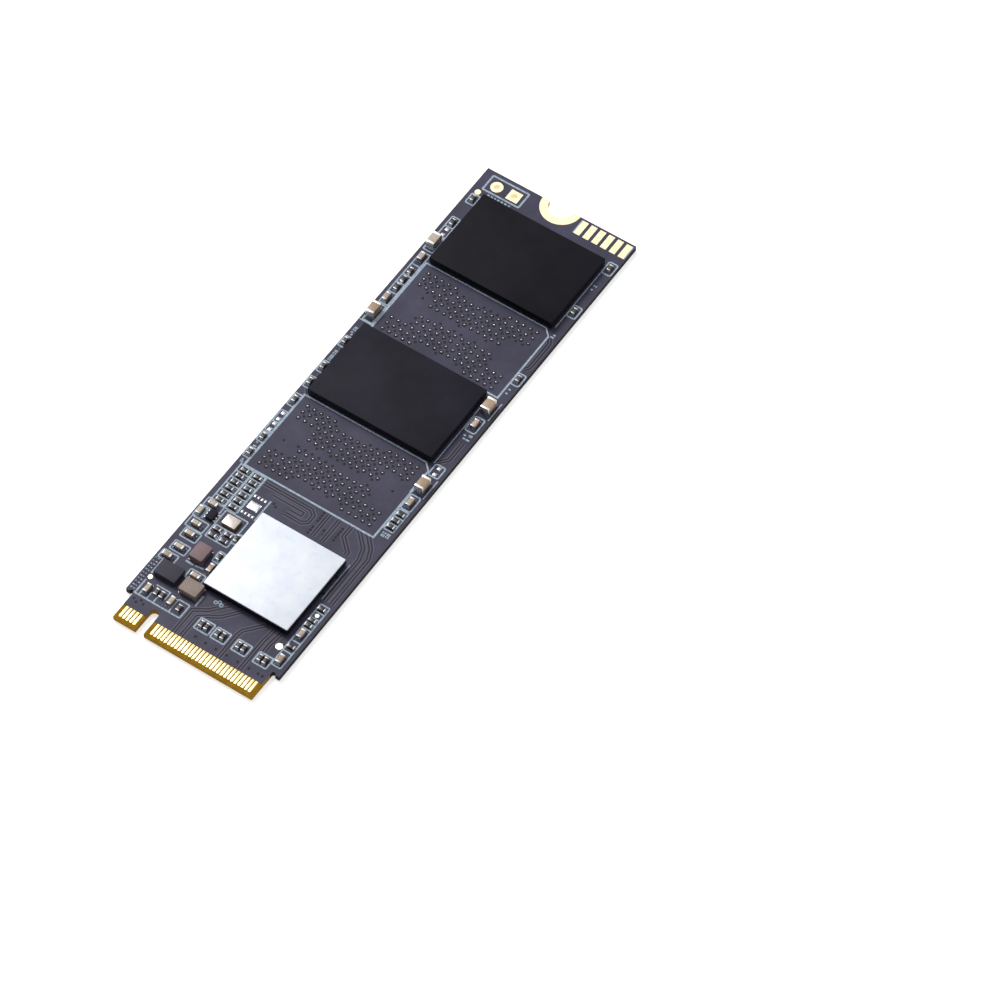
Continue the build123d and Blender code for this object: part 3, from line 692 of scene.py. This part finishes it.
def add_dome(mesh, low, high, z, height, roundness):
    """A low solder mound over a pad's box: a super-ellipse that falls to its edge."""
    centre, half = (low + high) / 2, (high - low) / 2
    steps, levels = 16, 4
    power = 2 / roundness
    rings = []
    for level in range(levels):
        lift = level / levels * math.pi / 2
        scale = math.cos(lift) ** 0.8
        ring = []
        for i in range(steps):
            turn = 2 * math.pi * i / steps
            c, s = math.cos(turn), math.sin(turn)
            x = centre.x + math.copysign(abs(c) ** power, c) * half.x * scale
            y = centre.y + math.copysign(abs(s) ** power, s) * half.y * scale
            ring.append(mesh.verts.new((x, y, z + height * math.sin(lift))))
        rings.append(ring)
    top = mesh.verts.new((centre.x, centre.y, z + height))
    for outer, inner in zip(rings, rings[1:]):
        bridge(mesh, outer, inner)
    for i in range(steps):
        mesh.faces.new((rings[-1][i], rings[-1][(i + 1) % steps], top))
    mesh.faces.new(rings[0])


def is_covered(low, high):
    """Whether a pad lies under one of the chip passives."""
    x, y, _ = (low + high) / 2
    return is_inside(x, y, passive_boxes, 0.2)


def is_inside(x, y, boxes, gap):
    """Whether a place is within a gap of any of the boxes, seen from above."""
    return any(low.x - gap < x < high.x + gap and low.y - gap < y < high.y + gap for low, high in boxes)


# Roundness of a mound's outline: 2 is an ellipse, and SQUARISH nearly fills the pad's corners
SQUARISH = 4.5
ROUND = 2

mounds = bmesh.new()
for low, high in islands("tinned_pads_top"):
    if not is_covered(low, high):
        add_dome(mounds, low, high, TOP, 0.035, SQUARISH)
for low, high in islands("tinned_pads_bottom"):
    add_dome(mounds, low, high, UNDERSIDE, -0.03, SQUARISH)
shade_smooth(piece("pad_solder_mounds", mounds, [SOLDER]))

# The spare footprint: domed puddles on its middle pad, and a low mound on each long lead pad
spare_solder = bmesh.new()
for low, high in islands("spare_chip_solder"):
    if abs((high - low).x - (high - low).y) < 0.05:
        add_dome(spare_solder, low, high, high.z, -0.075, ROUND)
    else:
        add_dome(spare_solder, low, high, UNDERSIDE, -0.03, SQUARISH)
        add_block(spare_solder, low, high, 0.01, 1)
made = piece("spare_chip_solder_domes", spare_solder, [SOLDER])
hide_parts("spare_chip_solder")
shade_smooth(made)

# ---------------------------------------------------------------- traces and vias under the mask


# How far covered traces and the gaps beside them stand out, and how deep traces, ink and vias start
TRACE = 0.008
GAP = 0.005
FOOT = 0.002
VIA_FOOT = 0.001
TRACE_PITCH = 0.36


def offset_path(points, distance):
    """The path moved sideways by a distance, with mitred corners."""
    return [point + side * distance * stretch for point, side, stretch in mitred(points)]


def add_bundle(gaps, traces, path, count, gap_width, trace_width, sign=1):
    """A number of gaps side by side along one path, and a trace on each side of every gap."""
    z = TOP - FOOT if sign > 0 else UNDERSIDE + FOOT
    layers = (gaps, count, gap_width, GAP), (traces, count + 1, trace_width, TRACE)
    for mesh, lines, width, height in layers:
        for i in range(lines):
            add_ribbon(mesh, offset_path(path, (i - (lines - 1) / 2) * TRACE_PITCH), width, z, sign * height)


VIA_PROFILE = [(0.22, 0.0), (0.2, 0.009), (0.18, 0.009), (0.165, 0.0025)]


def add_via(mesh, x, y, sign, size=1.0):
    """A tented via: a raised ring of mask with a dark plugged middle."""
    z = TOP - VIA_FOOT if sign > 0 else UNDERSIDE + VIA_FOOT
    add_lathe(mesh, (x, y), [(r * size, h) for r, h in VIA_PROFILE], z, sign, steps=8, plug_rings=1)


# From a ball field's corner to the middle of its first four balls
VIA_INSET = 0.73


def half_pitch_places(low, high, share):
    """Via places between the balls of a one-millimetre grid, a given share of them used."""
    places = []
    for column in range(int(high.x - low.x)):
        for row in range(int(high.y - low.y)):
            if random.random() < share:
                places.append((low.x + VIA_INSET + column, low.y + VIA_INSET + row))
    return places


traces_top, gaps_and_bump_shade_top, vias_top = bmesh.new(), bmesh.new(), bmesh.new()
fan_start = CONTROLLER_LOW.y - 0.2
fan_end = MASK_EDGE + 0.1

# Signal pairs fan out from under the controller, past the coupling capacitors, to the fingers
FAN_PATHS = [
    ([(0.6, fan_start), (-1.2, 6.9), (-2.8, 5.9), (-2.8, fan_end)], 2),
    ([(2.2, fan_start), (0.5, 6.9), (-0.7, 6.2), (-1.75, 5.4), (-1.75, fan_end)], 2),
    ([(5.6, fan_start), (3.75, 6.8), (3.58, 6.0), (3.58, fan_end)], 2),
    ([(6.8, fan_start), (6.6, 7.0), (6.6, fan_end)], 2),
    ([(7.75, fan_start), (7.5, 7.0), (7.5, 5.9)], 2),
]
# Matched-length meanders behind the controller
MEANDER_PATHS = [
    ([(-6.3, 25.3), (0.6, 25.3), (1.25, 24.7), (1.25, 23.6), (0.6, 23.1), (-2.0, 23.1)], 2),
    ([(-4.4, 24.45), (0.1, 24.45), (0.1, 23.85), (-1.7, 23.85)], 1),
    ([(2.75, 26.0), (2.75, 22.3)], 2),
    ([(4.2, 26.0), (4.2, 22.3)], 2),
    ([(5.9, 26.0), (5.9, 24.3), (7.6, 22.7), (7.6, 22.2)], 2),
    ([(8.3, 26.0), (9.6, 24.6), (10.2, 23.2), (10.2, 15.6)], 2),
    ([(7.0, 26.0), (8.8, 24.2), (9.3, 22.6), (9.3, 15.6)], 2),
]
# Long runs past the ball fields
EDGE_PATHS = [
    ([(-9.4, 38.8), (-9.9, 39.4), (-9.9, 50.2), (-9.4, 50.9)], 2),
    ([(8.9, 39.2), (10.0, 40.4), (10.0, 43.4)], 2),
    ([(10.0, 56.6), (10.4, 57.2), (10.4, 61.5), (10.0, 62.2)], 2),
]
for path, count in FAN_PATHS + MEANDER_PATHS + EDGE_PATHS:
    add_bundle(gaps_and_bump_shade_top, traces_top, path, count, 0.16, 0.15)

# Each bump sits on a dark disc of bare-board colour, a little wider than the bump: its opening in the mask,
# drawn dark also as painted shadow round the bump.
# Vias stand between bumps: VIA_SHARES says how often, by how many bumps are near the place.
VIA_SHARES = (0.04, 0.1, 0.5, 0.8, 0.8)
for name, (low, high) in zip(SITE_NODES, SITES):
    bumps = [(box[0] + box[1]) / 2 for box in islands(name)]
    for bump in bumps:
        # Painted shadow: a dark disc round each bump, partly its real mask opening
        add_lathe(gaps_and_bump_shade_top, bump, [(0.31, 0.0), (0.3, 0.004)], TOP - VIA_FOOT)
    for x, y in half_pitch_places(low, high, 1.0):
        near = sum((bump.xy - Vector((x, y))).length < 0.8 for bump in bumps)
        if random.random() < VIA_SHARES[near]:
            add_via(vias_top, x, y, 1, 1.1)
VIAS_TOP = [(x, 3.0) for x in (1.2, 2.7, 4.2, 5.8, 7.4, 8.7, 9.3)]
VIAS_TOP += [(2.1, 22.4 + 0.5 * i) for i in range(3)] + [(2.1, 24.4 + 0.45 * i) for i in range(4)]
VIAS_TOP += [(5.2, 23.2 + 0.48 * i) for i in range(5)]
VIAS_TOP += [(3.5, 23.7), (3.8, 23.2), (7.1, 22.7), (7.5, 23.1), (-8.0, 31.7), (-3.2, 23.2), (-3.6, 23.5)]
VIAS_TOP += [(-9.4, 3.4), (-8.9, 3.1), (-8.5, 3.6), (-8.0, 3.3), (-0.3, 3.1)]
VIAS_TOP += [(8.6 + 0.5 * (i % 3), 16.4 + 0.9 * i) for i in range(6)]
for x, y in VIAS_TOP:
    add_via(vias_top, x, y, 1)

PADS_BELOW = islands("gold_dots_bottom") + islands("tinned_pads_bottom") + islands("spare_chip_pad")


def add_via_below(x, y, size, gap=0.35):
    """A via on the underside, if the place is at least a gap away from every pad."""
    if not is_inside(x, y, PADS_BELOW, gap):
        add_via(vias_bottom, x, y, -1, size)


traces_bottom, gaps_bottom, vias_bottom = bmesh.new(), bmesh.new(), bmesh.new()
for low, high in BALL_FIELDS:
    for x, y in half_pitch_places(low, high, 0.82):
        if -6.5 < x < 5.5:
            add_via(vias_bottom, x, y - 0.25, -1, 1.25)

# A closer grid under the controller
GRID_INSET, GRID_PITCH = 1.3, 0.65
for column in range(15):
    for row in range(14):
        if random.random() < 0.78:
            x = CONTROLLER_LOW.x + GRID_INSET + column * GRID_PITCH
            add_via_below(x, CONTROLLER_LOW.y + GRID_INSET + row * GRID_PITCH, 1.1)

# Stitching vias along both long sides
STITCH_START, STITCH_PITCH, STITCH_INSET = 5.2, 0.55, 0.27
for i in range(int((LENGTH - 8.5) / STITCH_PITCH)):
    for side in (-1, 1):
        add_via_below(side * (HALF_WIDTH - STITCH_INSET), STITCH_START + STITCH_PITCH * i, 1.05, gap=0.3)

# Loose ground vias in (middle, half width) strips over the rest of the face, off the printed columns
LOOSE_STRIPS = ((-9.2, 1.1), (-7.6, 1.2), (8.6, 0.6))
for i in range(96):
    (middle, spread), y = random.choice(LOOSE_STRIPS), random.uniform(24, 76)
    add_via_below(middle + random.uniform(-spread, spread), y, 1.15)


def from_below(points):
    """Points laid out in the view from below, as board coordinates."""
    return [(-x, y) for x, y in points]


# Long buses under the two halves of the memory field
below = UNDERSIDE + FOOT
HALVES = [(27.5, 49.7), (53.2, 72.8)]
LONG_GAPS = (-5.4, -4.65, -3.55, -2.6, -1.65, -0.75, 2.15, 3.0, 3.85)
for start, end in HALVES:
    for x in LONG_GAPS:
        low, high = start + random.uniform(0, 3), end - random.uniform(0, 3)
        jog = random.choice((0, 0.3))
        middle = random.uniform(low + 4, high - 4)
        run = from_below([(x, low), (x, middle), (x + jog, middle + 0.5), (x + jog, high)])
        add_ribbon(gaps_bottom, run, 0.18, below, -GAP)
        add_ribbon(traces_bottom, offset_path(run, -0.21), 0.22, below, -TRACE)
FINE_RUNS = [
    ([(-10.2, 24.0), (-10.2, 71.0), (-9.6, 72.0)], 2),
    ([(-9.0, 47.5), (-9.0, 66.0)], 2),
    ([(-6.9, 43.9), (-6.9, 49.8)], 5),
    ([(-8.0, 51.9), (-7.6, 52.4), (-4.6, 52.4)], 2),
    ([(7.6, 38.0), (7.6, 45.2), (6.4, 47.2)], 2),
    ([(7.0, 29.0), (7.0, 35.0), (7.6, 36.0), (7.6, 37.6)], 2),
    ([(6.2, 50.4), (7.4, 51.2), (8.4, 53.2), (8.4, 58.6)], 2),
    ([(8.2, 62.4), (8.2, 67.8)], 2),
    ([(6.2, 58.0), (6.9, 61.4)], 2),
    ([(-6.3, 72.6), (-4.6, 75.2), (0.2, 75.2), (1.8, 73.4)], 2),
    ([(-6.2, 22.0), (-4.8, 24.0), (-4.8, 27.2)], 3),
    ([(-1.8, 22.0), (-1.8, 25.0), (-2.8, 27.0)], 4),
    ([(4.6, 21.0), (4.6, 25.6), (3.9, 27.0)], 3),
    ([(6.3, 21.5), (6.3, 24.5), (7.0, 25.6), (7.0, 28.7)], 2),
    ([(6.6, 5.6), (6.6, 11.4), (9.4, 11.4)], 2),
    ([(-2.2, 9.4), (-1.4, 8.0), (-1.4, 5.4), (-2.2, 4.4), (-2.2, 2.8)], 4),
    ([(-0.4, 9.2), (1.4, 8.6), (2.4, 7.0), (2.4, 5.0)], 3),
    ([(-4.8, 9.6), (-4.8, 6.6)], 3),
    ([(-8.3, 6.4), (-8.3, 5.4), (-7.4, 4.0), (-7.4, 2.8)], 3),
    ([(-9.9, 16.2), (-9.9, 22.0)], 3),
]
for path, count in FINE_RUNS:
    add_bundle(gaps_bottom, traces_bottom, from_below(path), count, 0.13, 0.13, -1)


def add_patch(mesh, outline, z, height):
    """A flat patch inside a closed outline."""
    base = [mesh.verts.new((x, y, z)) for x, y in outline]
    cover = [mesh.verts.new((x, y, z + height)) for x, y in outline]
    mesh.faces.new(base)
    mesh.faces.new(cover)
    bridge(mesh, base, cover)


# Bare window in the copper between the halves: a tapering stroke of darker board
WINDOW = [
    (-6.9, 52.1), (-5.6, 52.8), (-3.6, 52.7), (-1.6, 52.2), (0.4, 51.3), (1.6, 51.0), (3.4, 50.9),
    (3.4, 50.7), (1.2, 50.6), (0.4, 50.1), (-1.0, 49.9), (-2.6, 50.1), (-3.8, 50.7), (-4.8, 51.2),
    (-6.0, 51.6),
]
add_patch(gaps_bottom, from_below(WINDOW), below, -0.004)

piece("traces_under_mask_top", traces_top, [TRACE_TOP])
piece("copper_gaps_and_painted_bump_shadows_top", gaps_and_bump_shade_top, [TRENCH])
piece("traces_under_mask_bottom", traces_bottom, [TRACE_BOTTOM])
piece("copper_gaps_under_mask_bottom", gaps_bottom, [TRENCH])
piece("tented_vias_bottom", vias_bottom, [MASK_BOTTOM, VIA_PLUG])

# ---------------------------------------------------------------- legend print

# Height of the printed ink, and how that height steps from line to line
INK = 0.012
INK_STEP = 0.00017
INK_STEPS = 23


class Legend:
    """Lines, frames and generic marks of legend ink on one face. sign is 1 on top and -1 underneath."""

    def __init__(self, z, sign):
        self.mesh = bmesh.new()
        self.z = z - sign * FOOT
        self.sign = sign
        self.count = 0

    def line(self, points, width=0.2, closed=False):
        """A printed line. Thickness steps from line to line, so lines that cross don't share a surface."""
        self.count += 1
        height = self.sign * (INK + INK_STEP * (self.count % INK_STEPS))
        add_ribbon(self.mesh, [(self.sign * x, y) for x, y in points], width, self.z, height, closed)

    def along(self, x, y0, y1, width=0.2):
        self.line([(x, y0), (x, y1)], width)

    def across(self, y, x0, x1, width=0.2):
        self.line([(x0, y), (x1, y)], width)

    def frame(self, x0, x1, y0, y1, width=0.2, radius=0.15):
        self.line(rounded_frame(x0, x1, y0, y1, radius), width, closed=True)

    def marks(self, x, y0, y1, size=0.55, width=0.16):
        """A column of plain printed dashes across x, where the real board carries its print."""
        half, inner = size / 2, size * 0.1
        y = y0
        while y < y1 - half:
            middle = y + size * 0.36
            shape = random.choice(("whole", "left", "right", "pair", "split"))
            if shape == "pair":
                for rise in (-0.2 * size, 0.2 * size):
                    self.across(middle + rise, x - half, x + half, width)
            elif shape == "split":
                for side in (-1, 1):
                    self.across(middle, x + side * inner, x + side * half, width * 1.6)
            else:
                start = x - (inner if shape == "right" else half)
                end = x + (inner if shape == "left" else half)
                self.across(middle, start, end, width * 1.6)
            y += size * random.choice((0.8, 0.85, 0.9, 1.35))

    def finish(self, name):
        return piece(name, self.mesh, [INK_PAINT])


top = Legend(TOP, 1)

# Connector end
top.across(4.1, -10.0, -4.7, 0.22)
for x in (-9.25, -8.15, -7.2):
    top.along(x, 4.2, 5.2)
top.line([(-8.3, 6.4), (-6.3, 6.4), (-6.3, 5.2)])
for y0, y1 in ((4.2, 6.35), (7.35, 10.0)):
    top.along(-9.8, y0, y1, 0.24)
top.frame(-4.95, -3.35, 4.1, 6.2)
for x0, x1 in ((-1.25, 0.75), (1.1, 3.05), (4.1, 6.05), (7.15, 9.05)):
    top.frame(x0, x1, 4.0, 5.65, 0.22)
top.along(-2.8, 6.5, 8.2, 0.28)
for x, y in ((-1.3, 8.1), (-0.9, 8.35), (-0.5, 8.1)):
    top.frame(x, x + 0.34, y, y + 0.38, 0.14, 0.08)
top.line([(-7.5, 11.1), (-6.35, 11.05)], 0.3)
top.line([(-6.2, 11.1), (-5.0, 11.25)], 0.26)
for row in range(11):
    y = 4.5 + 0.5 * row
    for x in (-10.75, -10.35):
        reach = random.uniform(0.1, 0.3)
        top.line([(x, y), (x + reach, y + random.choice((0, 0.12)))], 0.16)
        add_via(vias_top, x + 0.15, y + 0.26, 1, 0.55)

# Power supply and clock block
BLOCK_FRAMES = [
    (-10.6, -8.45, 9.75, 11.05), (-10.2, -8.05, 11.45, 12.85), (-10.25, -8.05, 13.6, 15.05),
    (-10.65, -8.2, 15.2, 16.75), (-10.75, -9.7, 16.85, 18.6), (-10.55, -8.15, 18.7, 20.0),
    (-6.3, -4.15, 9.2, 10.55), (-4.64, -3.95, 16.15, 17.65), (-4.95, -4.05, 12.8, 14.42),
    (-7.75, -4.55, 15.25, 19.6),
]
for sides in BLOCK_FRAMES:
    top.frame(*sides)
top.across(17.25, -7.75, -4.55)
top.along(-6.15, 15.3, 17.2)
top.along(-9.5, 17.0, 18.6)
for y in (17.4, 18.2):
    top.line([(-8.0, y), (-7.85, y + 0.35)], 0.3)
top.along(-4.1, 20.2, 23.6, 0.22)
for x, width in ((-10.2, 0.2), (-8.25, 0.3), (-6.5, 0.3)):
    top.along(x, 19.95, 26.2, width)
for row in range(7):
    y = 19.8 + 1.03 * row
    top.across(y, -10.2, -6.5)

# Right column beside the controller
top.along(9.15, 5.0, 15.0)
top.along(10.45, 5.0, 15.0)
for y in (5.0, 7.35, 9.05, 11.2, 12.05, 12.9, 13.85, 15.0):
    top.across(y, 9.15, 10.45)
top.along(8.85, 15.6, 21.4, 0.12)

# Outlines of the unfitted memory sites, from their bumps
SITE_MARGINS = [(-1.1, 1.15, -1.0, 1.0), (-1.0, 1.2, -0.6, 1.0)]
SITE_CORNER = 0.95
for (low, high), (left, right, front, back) in zip(SITES, SITE_MARGINS):
    x0, x1, y0, y1 = low.x + left, high.x + right, low.y + front, high.y + back
    top.line([(x0, y1), (x1 - SITE_CORNER, y1), (x1, y1 - SITE_CORNER)])
    top.line([(x1, y1 - SITE_CORNER), (x1, y0), (x0, y0)], 0.26)
    top.along(x0, y0 - 0.1, y1 + 0.1, 0.32)
for name, x, front, back in (("memory_1_body", 8.78, 0.2, 0.0), ("memory_2_body", 9.6, 0.5, -0.5)):
    low, high = box_mm(name)
    top.along(x, low.y + front, high.y + back, 0.14)

# Left column
LEFT_FRAMES = [
    (-10.85, -9.9, 36.3, 38.3), (-10.85, -9.9, 33.4, 35.3), (-10.85, -9.9, 31.75, 33.4),
    (-10.85, -9.8, 29.95, 31.5), (-10.85, -9.8, 27.2, 28.75), (-10.85, -9.85, 39.6, 41.4),
    (-10.85, -9.85, 42.4, 44.2), (-10.85, -9.85, 47.0, 48.75), (-10.4, -9.2, 73.95, 75.6),
    (-10.4, -9.2, 69.5, 71.2), (-10.4, -9.2, 67.7, 69.5), (-10.6, -9.2, 51.9, 55.0),
    (-10.6, -9.2, 65.0, 67.6),
]
for sides in LEFT_FRAMES:
    top.frame(*sides)
top.across(51.75, -10.9, -8.8)
for x in (-10.45, -9.2):
    top.along(x, 55.2, 64.6)
for y in (55.25, 57.25, 59.0, 60.4, 62.3, 64.5):
    top.across(y, -10.45, -9.2)
for y0, y1 in ((26.2, 27.0), (28.9, 29.8), (44.4, 46.4), (49.0, 50.6)):
    top.marks(-10.4, y0, y1, 0.45, 0.14)

# Right column
RIGHT_FRAMES = [
    (9.05, 10.45, 37.3, 39.12), (9.05, 10.45, 31.5, 33.85), (9.0, 10.4, 45.2, 47.6),
    (9.75, 10.85, 53.95, 55.85), (9.6, 10.85, 74.25, 76.2), (9.65, 10.85, 66.3, 68.2),
]
for sides in RIGHT_FRAMES:
    top.frame(*sides, radius=0.25)
for x in (8.75, 10.65):
    top.along(x, 33.95, 37.1, 0.16)
    top.along(x, 47.8, 50.8, 0.16)
for y in (31.3, 30.1, 29.0, 27.95):
    top.across(y, 9.15, 10.4)
for x in (9.1, 10.45):
    top.along(x, 27.95, 31.4, 0.16)
for x, y in ((9.6, 27.3), (10.2, 27.3), (9.6, 44.3), (10.2, 44.3), (10.1, 52.7), (10.1, 62.8), (10.2, 71.6)):
    top.marks(x, y - 0.45, y + 0.5, 0.5, 0.15)

# Screw end
top.frame(-9.75, -4.4, 76.85, 79.35, 0.26, 0.12)
dash_x = -8.7
while dash_x < -5.2:
    step = random.uniform(0.22, 0.5)
    top.across(76.4, dash_x, dash_x + step, 0.22)
    dash_x += step + 0.2
for x in (3.3, 10.8):
    top.along(x, 77.45, 79.7, 0.16)
top.finish("legend_top")
piece("tented_vias_top", vias_top, [MASK_TOP, VIA_PLUG])

bottom = Legend(UNDERSIDE, -1)

# Underside outlines round the empty pads, in the view from below, so x counts the other way
BACK_FRAMES = [
    (-10.1, -8.8, 9.3, 11.8), (-7.5, -5.5, 10.4, 12.2), (-3.35, -1.5, 10.15, 12.15),
    (-1.3, 1.6, 9.3, 12.1), (2.5, 4.3, 9.3, 11.7), (0.9, 4.1, 12.02, 14.0), (-4.35, -2.4, 12.3, 13.4),
    (-4.1, -3.0, 14.2, 16.0), (-4.1, -2.8, 16.2, 18.4), (-2.25, -1.35, 16.4, 18.4),
    (-0.9, 0.9, 16.5, 18.5), (-1.5, 1.0, 14.1, 15.5), (1.4, 3.27, 15.4, 16.4), (8.2, 9.6, 17.0, 19.4),
    (7.4, 9.9, 6.6, 7.95),
]
for sides in BACK_FRAMES:
    bottom.frame(*sides, 0.17)
bottom.frame(3.27, 7.9, 15.5, 19.8, 0.2)
for y0, y1 in ((14.4, 15.2), (16.6, 20.8)):
    bottom.along(2.75, y0, y1, 0.2)
# Columns of marks, as (x, start, end, size, dash width), the last two left out where they are common
BACK_MARK_COLUMNS = [
    (-9.55, 24.5, 47.2, 0.85, 0.22), (-7.3, 38.4, 43.4, 1.0, 0.26), (-5.5, 38.4, 41.0, 1.0, 0.26),
    (-5.5, 41.4, 43.4, 1.0, 0.26), (-5.5, 28.7, 37.4, 0.95, 0.24), (-7.3, 26.0, 30.8, 0.55, 0.26),
    (-7.9, 7.9, 9.3), (-6.9, 6.7, 8.7), (-6.0, 4.7, 6.9), (-6.6, 8.9, 9.8), (-5.5, 8.9, 9.8),
    (-4.9, 3.2, 4.9), (-3.8, 3.2, 5.9), (-2.8, 5.2, 6.0, 0.6, 0.2), (-0.9, 3.0, 5.0), (-0.7, 5.3, 7.6),
    (0.35, 6.0, 7.1, 0.7, 0.2), (1.4, 5.3, 7.6), (0.75, 3.2, 4.9), (1.55, 3.2, 4.9, 0.7, 0.2),
    (2.35, 3.2, 4.9, 0.7, 0.2), (0.2, 21.8, 24.4), (1.2, 21.6, 24.4), (2.3, 21.6, 23.6),
    (-4.4, 21.0, 24.2, 0.7, 0.2), (-2.4, 23.2, 24.6, 0.7, 0.2), (-1.4, 22.8, 24.2, 0.7, 0.2),
    (3.4, 21.4, 22.3, 0.6, 0.18), (8.6, 20.3, 22.6, 0.7, 0.18), (9.4, 13.0, 14.4, 0.6, 0.18),
    (10.2, 9.9, 11.9, 0.7, 0.2), (8.4, 5.6, 6.5, 0.7, 0.2), (-9.6, 12.0, 13.2, 0.6, 0.18),
    (-8.0, 17.4, 18.6, 0.6, 0.18), (-6.0, 7.1, 8.7), (-5.0, 6.4, 8.6), (-3.9, 6.6, 8.4),
    (-4.9, 5.1, 6.2, 0.7, 0.2), (3.0, 21.9, 23.9, 0.7, 0.18), (-3.6, 21.2, 23.8, 0.7, 0.18),
]
COMMON_MARK = (0.8, 0.2)
MARK_GROWTH, DASH_GROWTH = 1.05, 1.15
for x, y0, y1, *look in BACK_MARK_COLUMNS:
    size, width = look or COMMON_MARK
    bottom.marks(x, y0, y1, size * MARK_GROWTH, width * DASH_GROWTH)
bottom.line(arc((-7.3, 36.4), 0.85, 0, 337.5, 15), 0.2, closed=True)
bottom.across(36.4, -7.55, -7.05, 0.4)
bottom.line([(-7.9, 33.2), (-7.3, 34.3), (-6.7, 33.2)], 0.22)
bottom.finish("legend_bottom")

# ---------------------------------------------------------------- stage, lights, camera

FLOOR_GAP = 0.08
FLOOR_HALF = 1500.0
FLOOR_GLOW = 0.55
SKY_FROM = Vector((-0.31, 0.475, 0.823))
SKY_DARK = 0.1
SKY_BRIGHT = 0.85
KEY_FROM = Vector((-0.6, 0.3, 0.85))
KEY_SIZE = 0.35
KEY_POWER = 5.2


def build_stage():
    """Pale floor, white dome and one key soft box."""
    floor_mesh = bmesh.new()
    corners = [(x * FLOOR_HALF, y * FLOOR_HALF) for x, y in ((-1, -1), (1, -1), (1, 1), (-1, 1))]
    floor_mesh.faces.new([floor_mesh.verts.new((x, y, UNDERSIDE - FLOOR_GAP)) for x, y in corners])
    data = bpy.data.meshes.new("floor")
    floor_mesh.to_mesh(data)
    floor_mesh.free()
    data.transform(Matrix.Scale(MM, 4))
    paper = mottled("floor_paper", (0.9, 0.9, 0.9), (0.93, 0.93, 0.93), 40.0, (0.8, 0.95), specular=0.1)
    shader = paper.node_tree.nodes["Principled BSDF"]
    shader.inputs["Emission Color"].default_value = (1, 1, 1, 1)
    shader.inputs["Emission Strength"].default_value = FLOOR_GLOW
    data.materials.append(paper)
    floor = add_object("floor", data)

    world = bpy.data.worlds.new("studio")
    world.use_nodes = True
    tree = world.node_tree
    facing = tree.nodes.new("ShaderNodeVectorMath")
    facing.operation = "DOT_PRODUCT"
    facing.inputs[1].default_value = SKY_FROM.normalized()
    tree.links.new(tree.nodes.new("ShaderNodeTexCoord").outputs["Generated"], facing.inputs[0])
    fade = tree.nodes.new("ShaderNodeMapRange")
    fade.interpolation_type = "SMOOTHSTEP"
    ends = {"From Min": 0.1, "From Max": 0.9, "To Min": SKY_DARK, "To Max": SKY_BRIGHT}
    for socket, value in ends.items():
        fade.inputs[socket].default_value = value
    tree.links.new(facing.outputs["Value"], fade.inputs["Value"])
    background = tree.nodes["Background"]
    background.inputs["Color"].default_value = (0.97, 0.985, 1.0, 1)
    tree.links.new(fade.outputs["Result"], background.inputs["Strength"])
    bpy.context.scene.world = world

    lamp = bpy.data.lights.new("key", "AREA")
    lamp.size = KEY_SIZE
    lamp.energy = KEY_POWER
    lamp.color = (1.0, 0.985, 0.965)
    key = add_object("key", lamp)
    key.location = (CAD_BOX[0] + CAD_BOX[1]) / 2 + KEY_FROM
    key.rotation_euler = KEY_FROM.to_track_quat("Z", "Y").to_euler()
    bpy.context.scene.view_settings.view_transform = "Standard"


VIEW_AZIMUTH = 33.178
VIEW_ELEVATION = 55.436
VIEW_ROLL = 0.843
VIEW_DISTANCE = 0.56081
VIEW_AIM = Vector((18.261, 39.032, 0.8)) * MM
VIEW_LENS = 170.0


def build_camera():
    """A long lens above the connector end, turned as the drive is seen."""
    a, e = math.radians(VIEW_AZIMUTH), math.radians(VIEW_ELEVATION)
    back = Vector((math.sin(a) * math.cos(e), -math.cos(a) * math.cos(e), math.sin(e)))
    data = bpy.data.cameras.new("camera")
    data.lens = VIEW_LENS
    data.sensor_width = 36.0
    data.clip_start = 0.01
    data.clip_end = 10.0
    camera = add_object("camera", data)
    camera.location = VIEW_AIM + back * VIEW_DISTANCE
    turn = (-back).to_track_quat("-Z", "Y") @ Quaternion((0, 0, 1), math.radians(VIEW_ROLL))
    camera.rotation_euler = turn.to_euler()
    bpy.context.scene.camera = camera


build_stage()
build_camera()

bpy.context.view_layer.update()
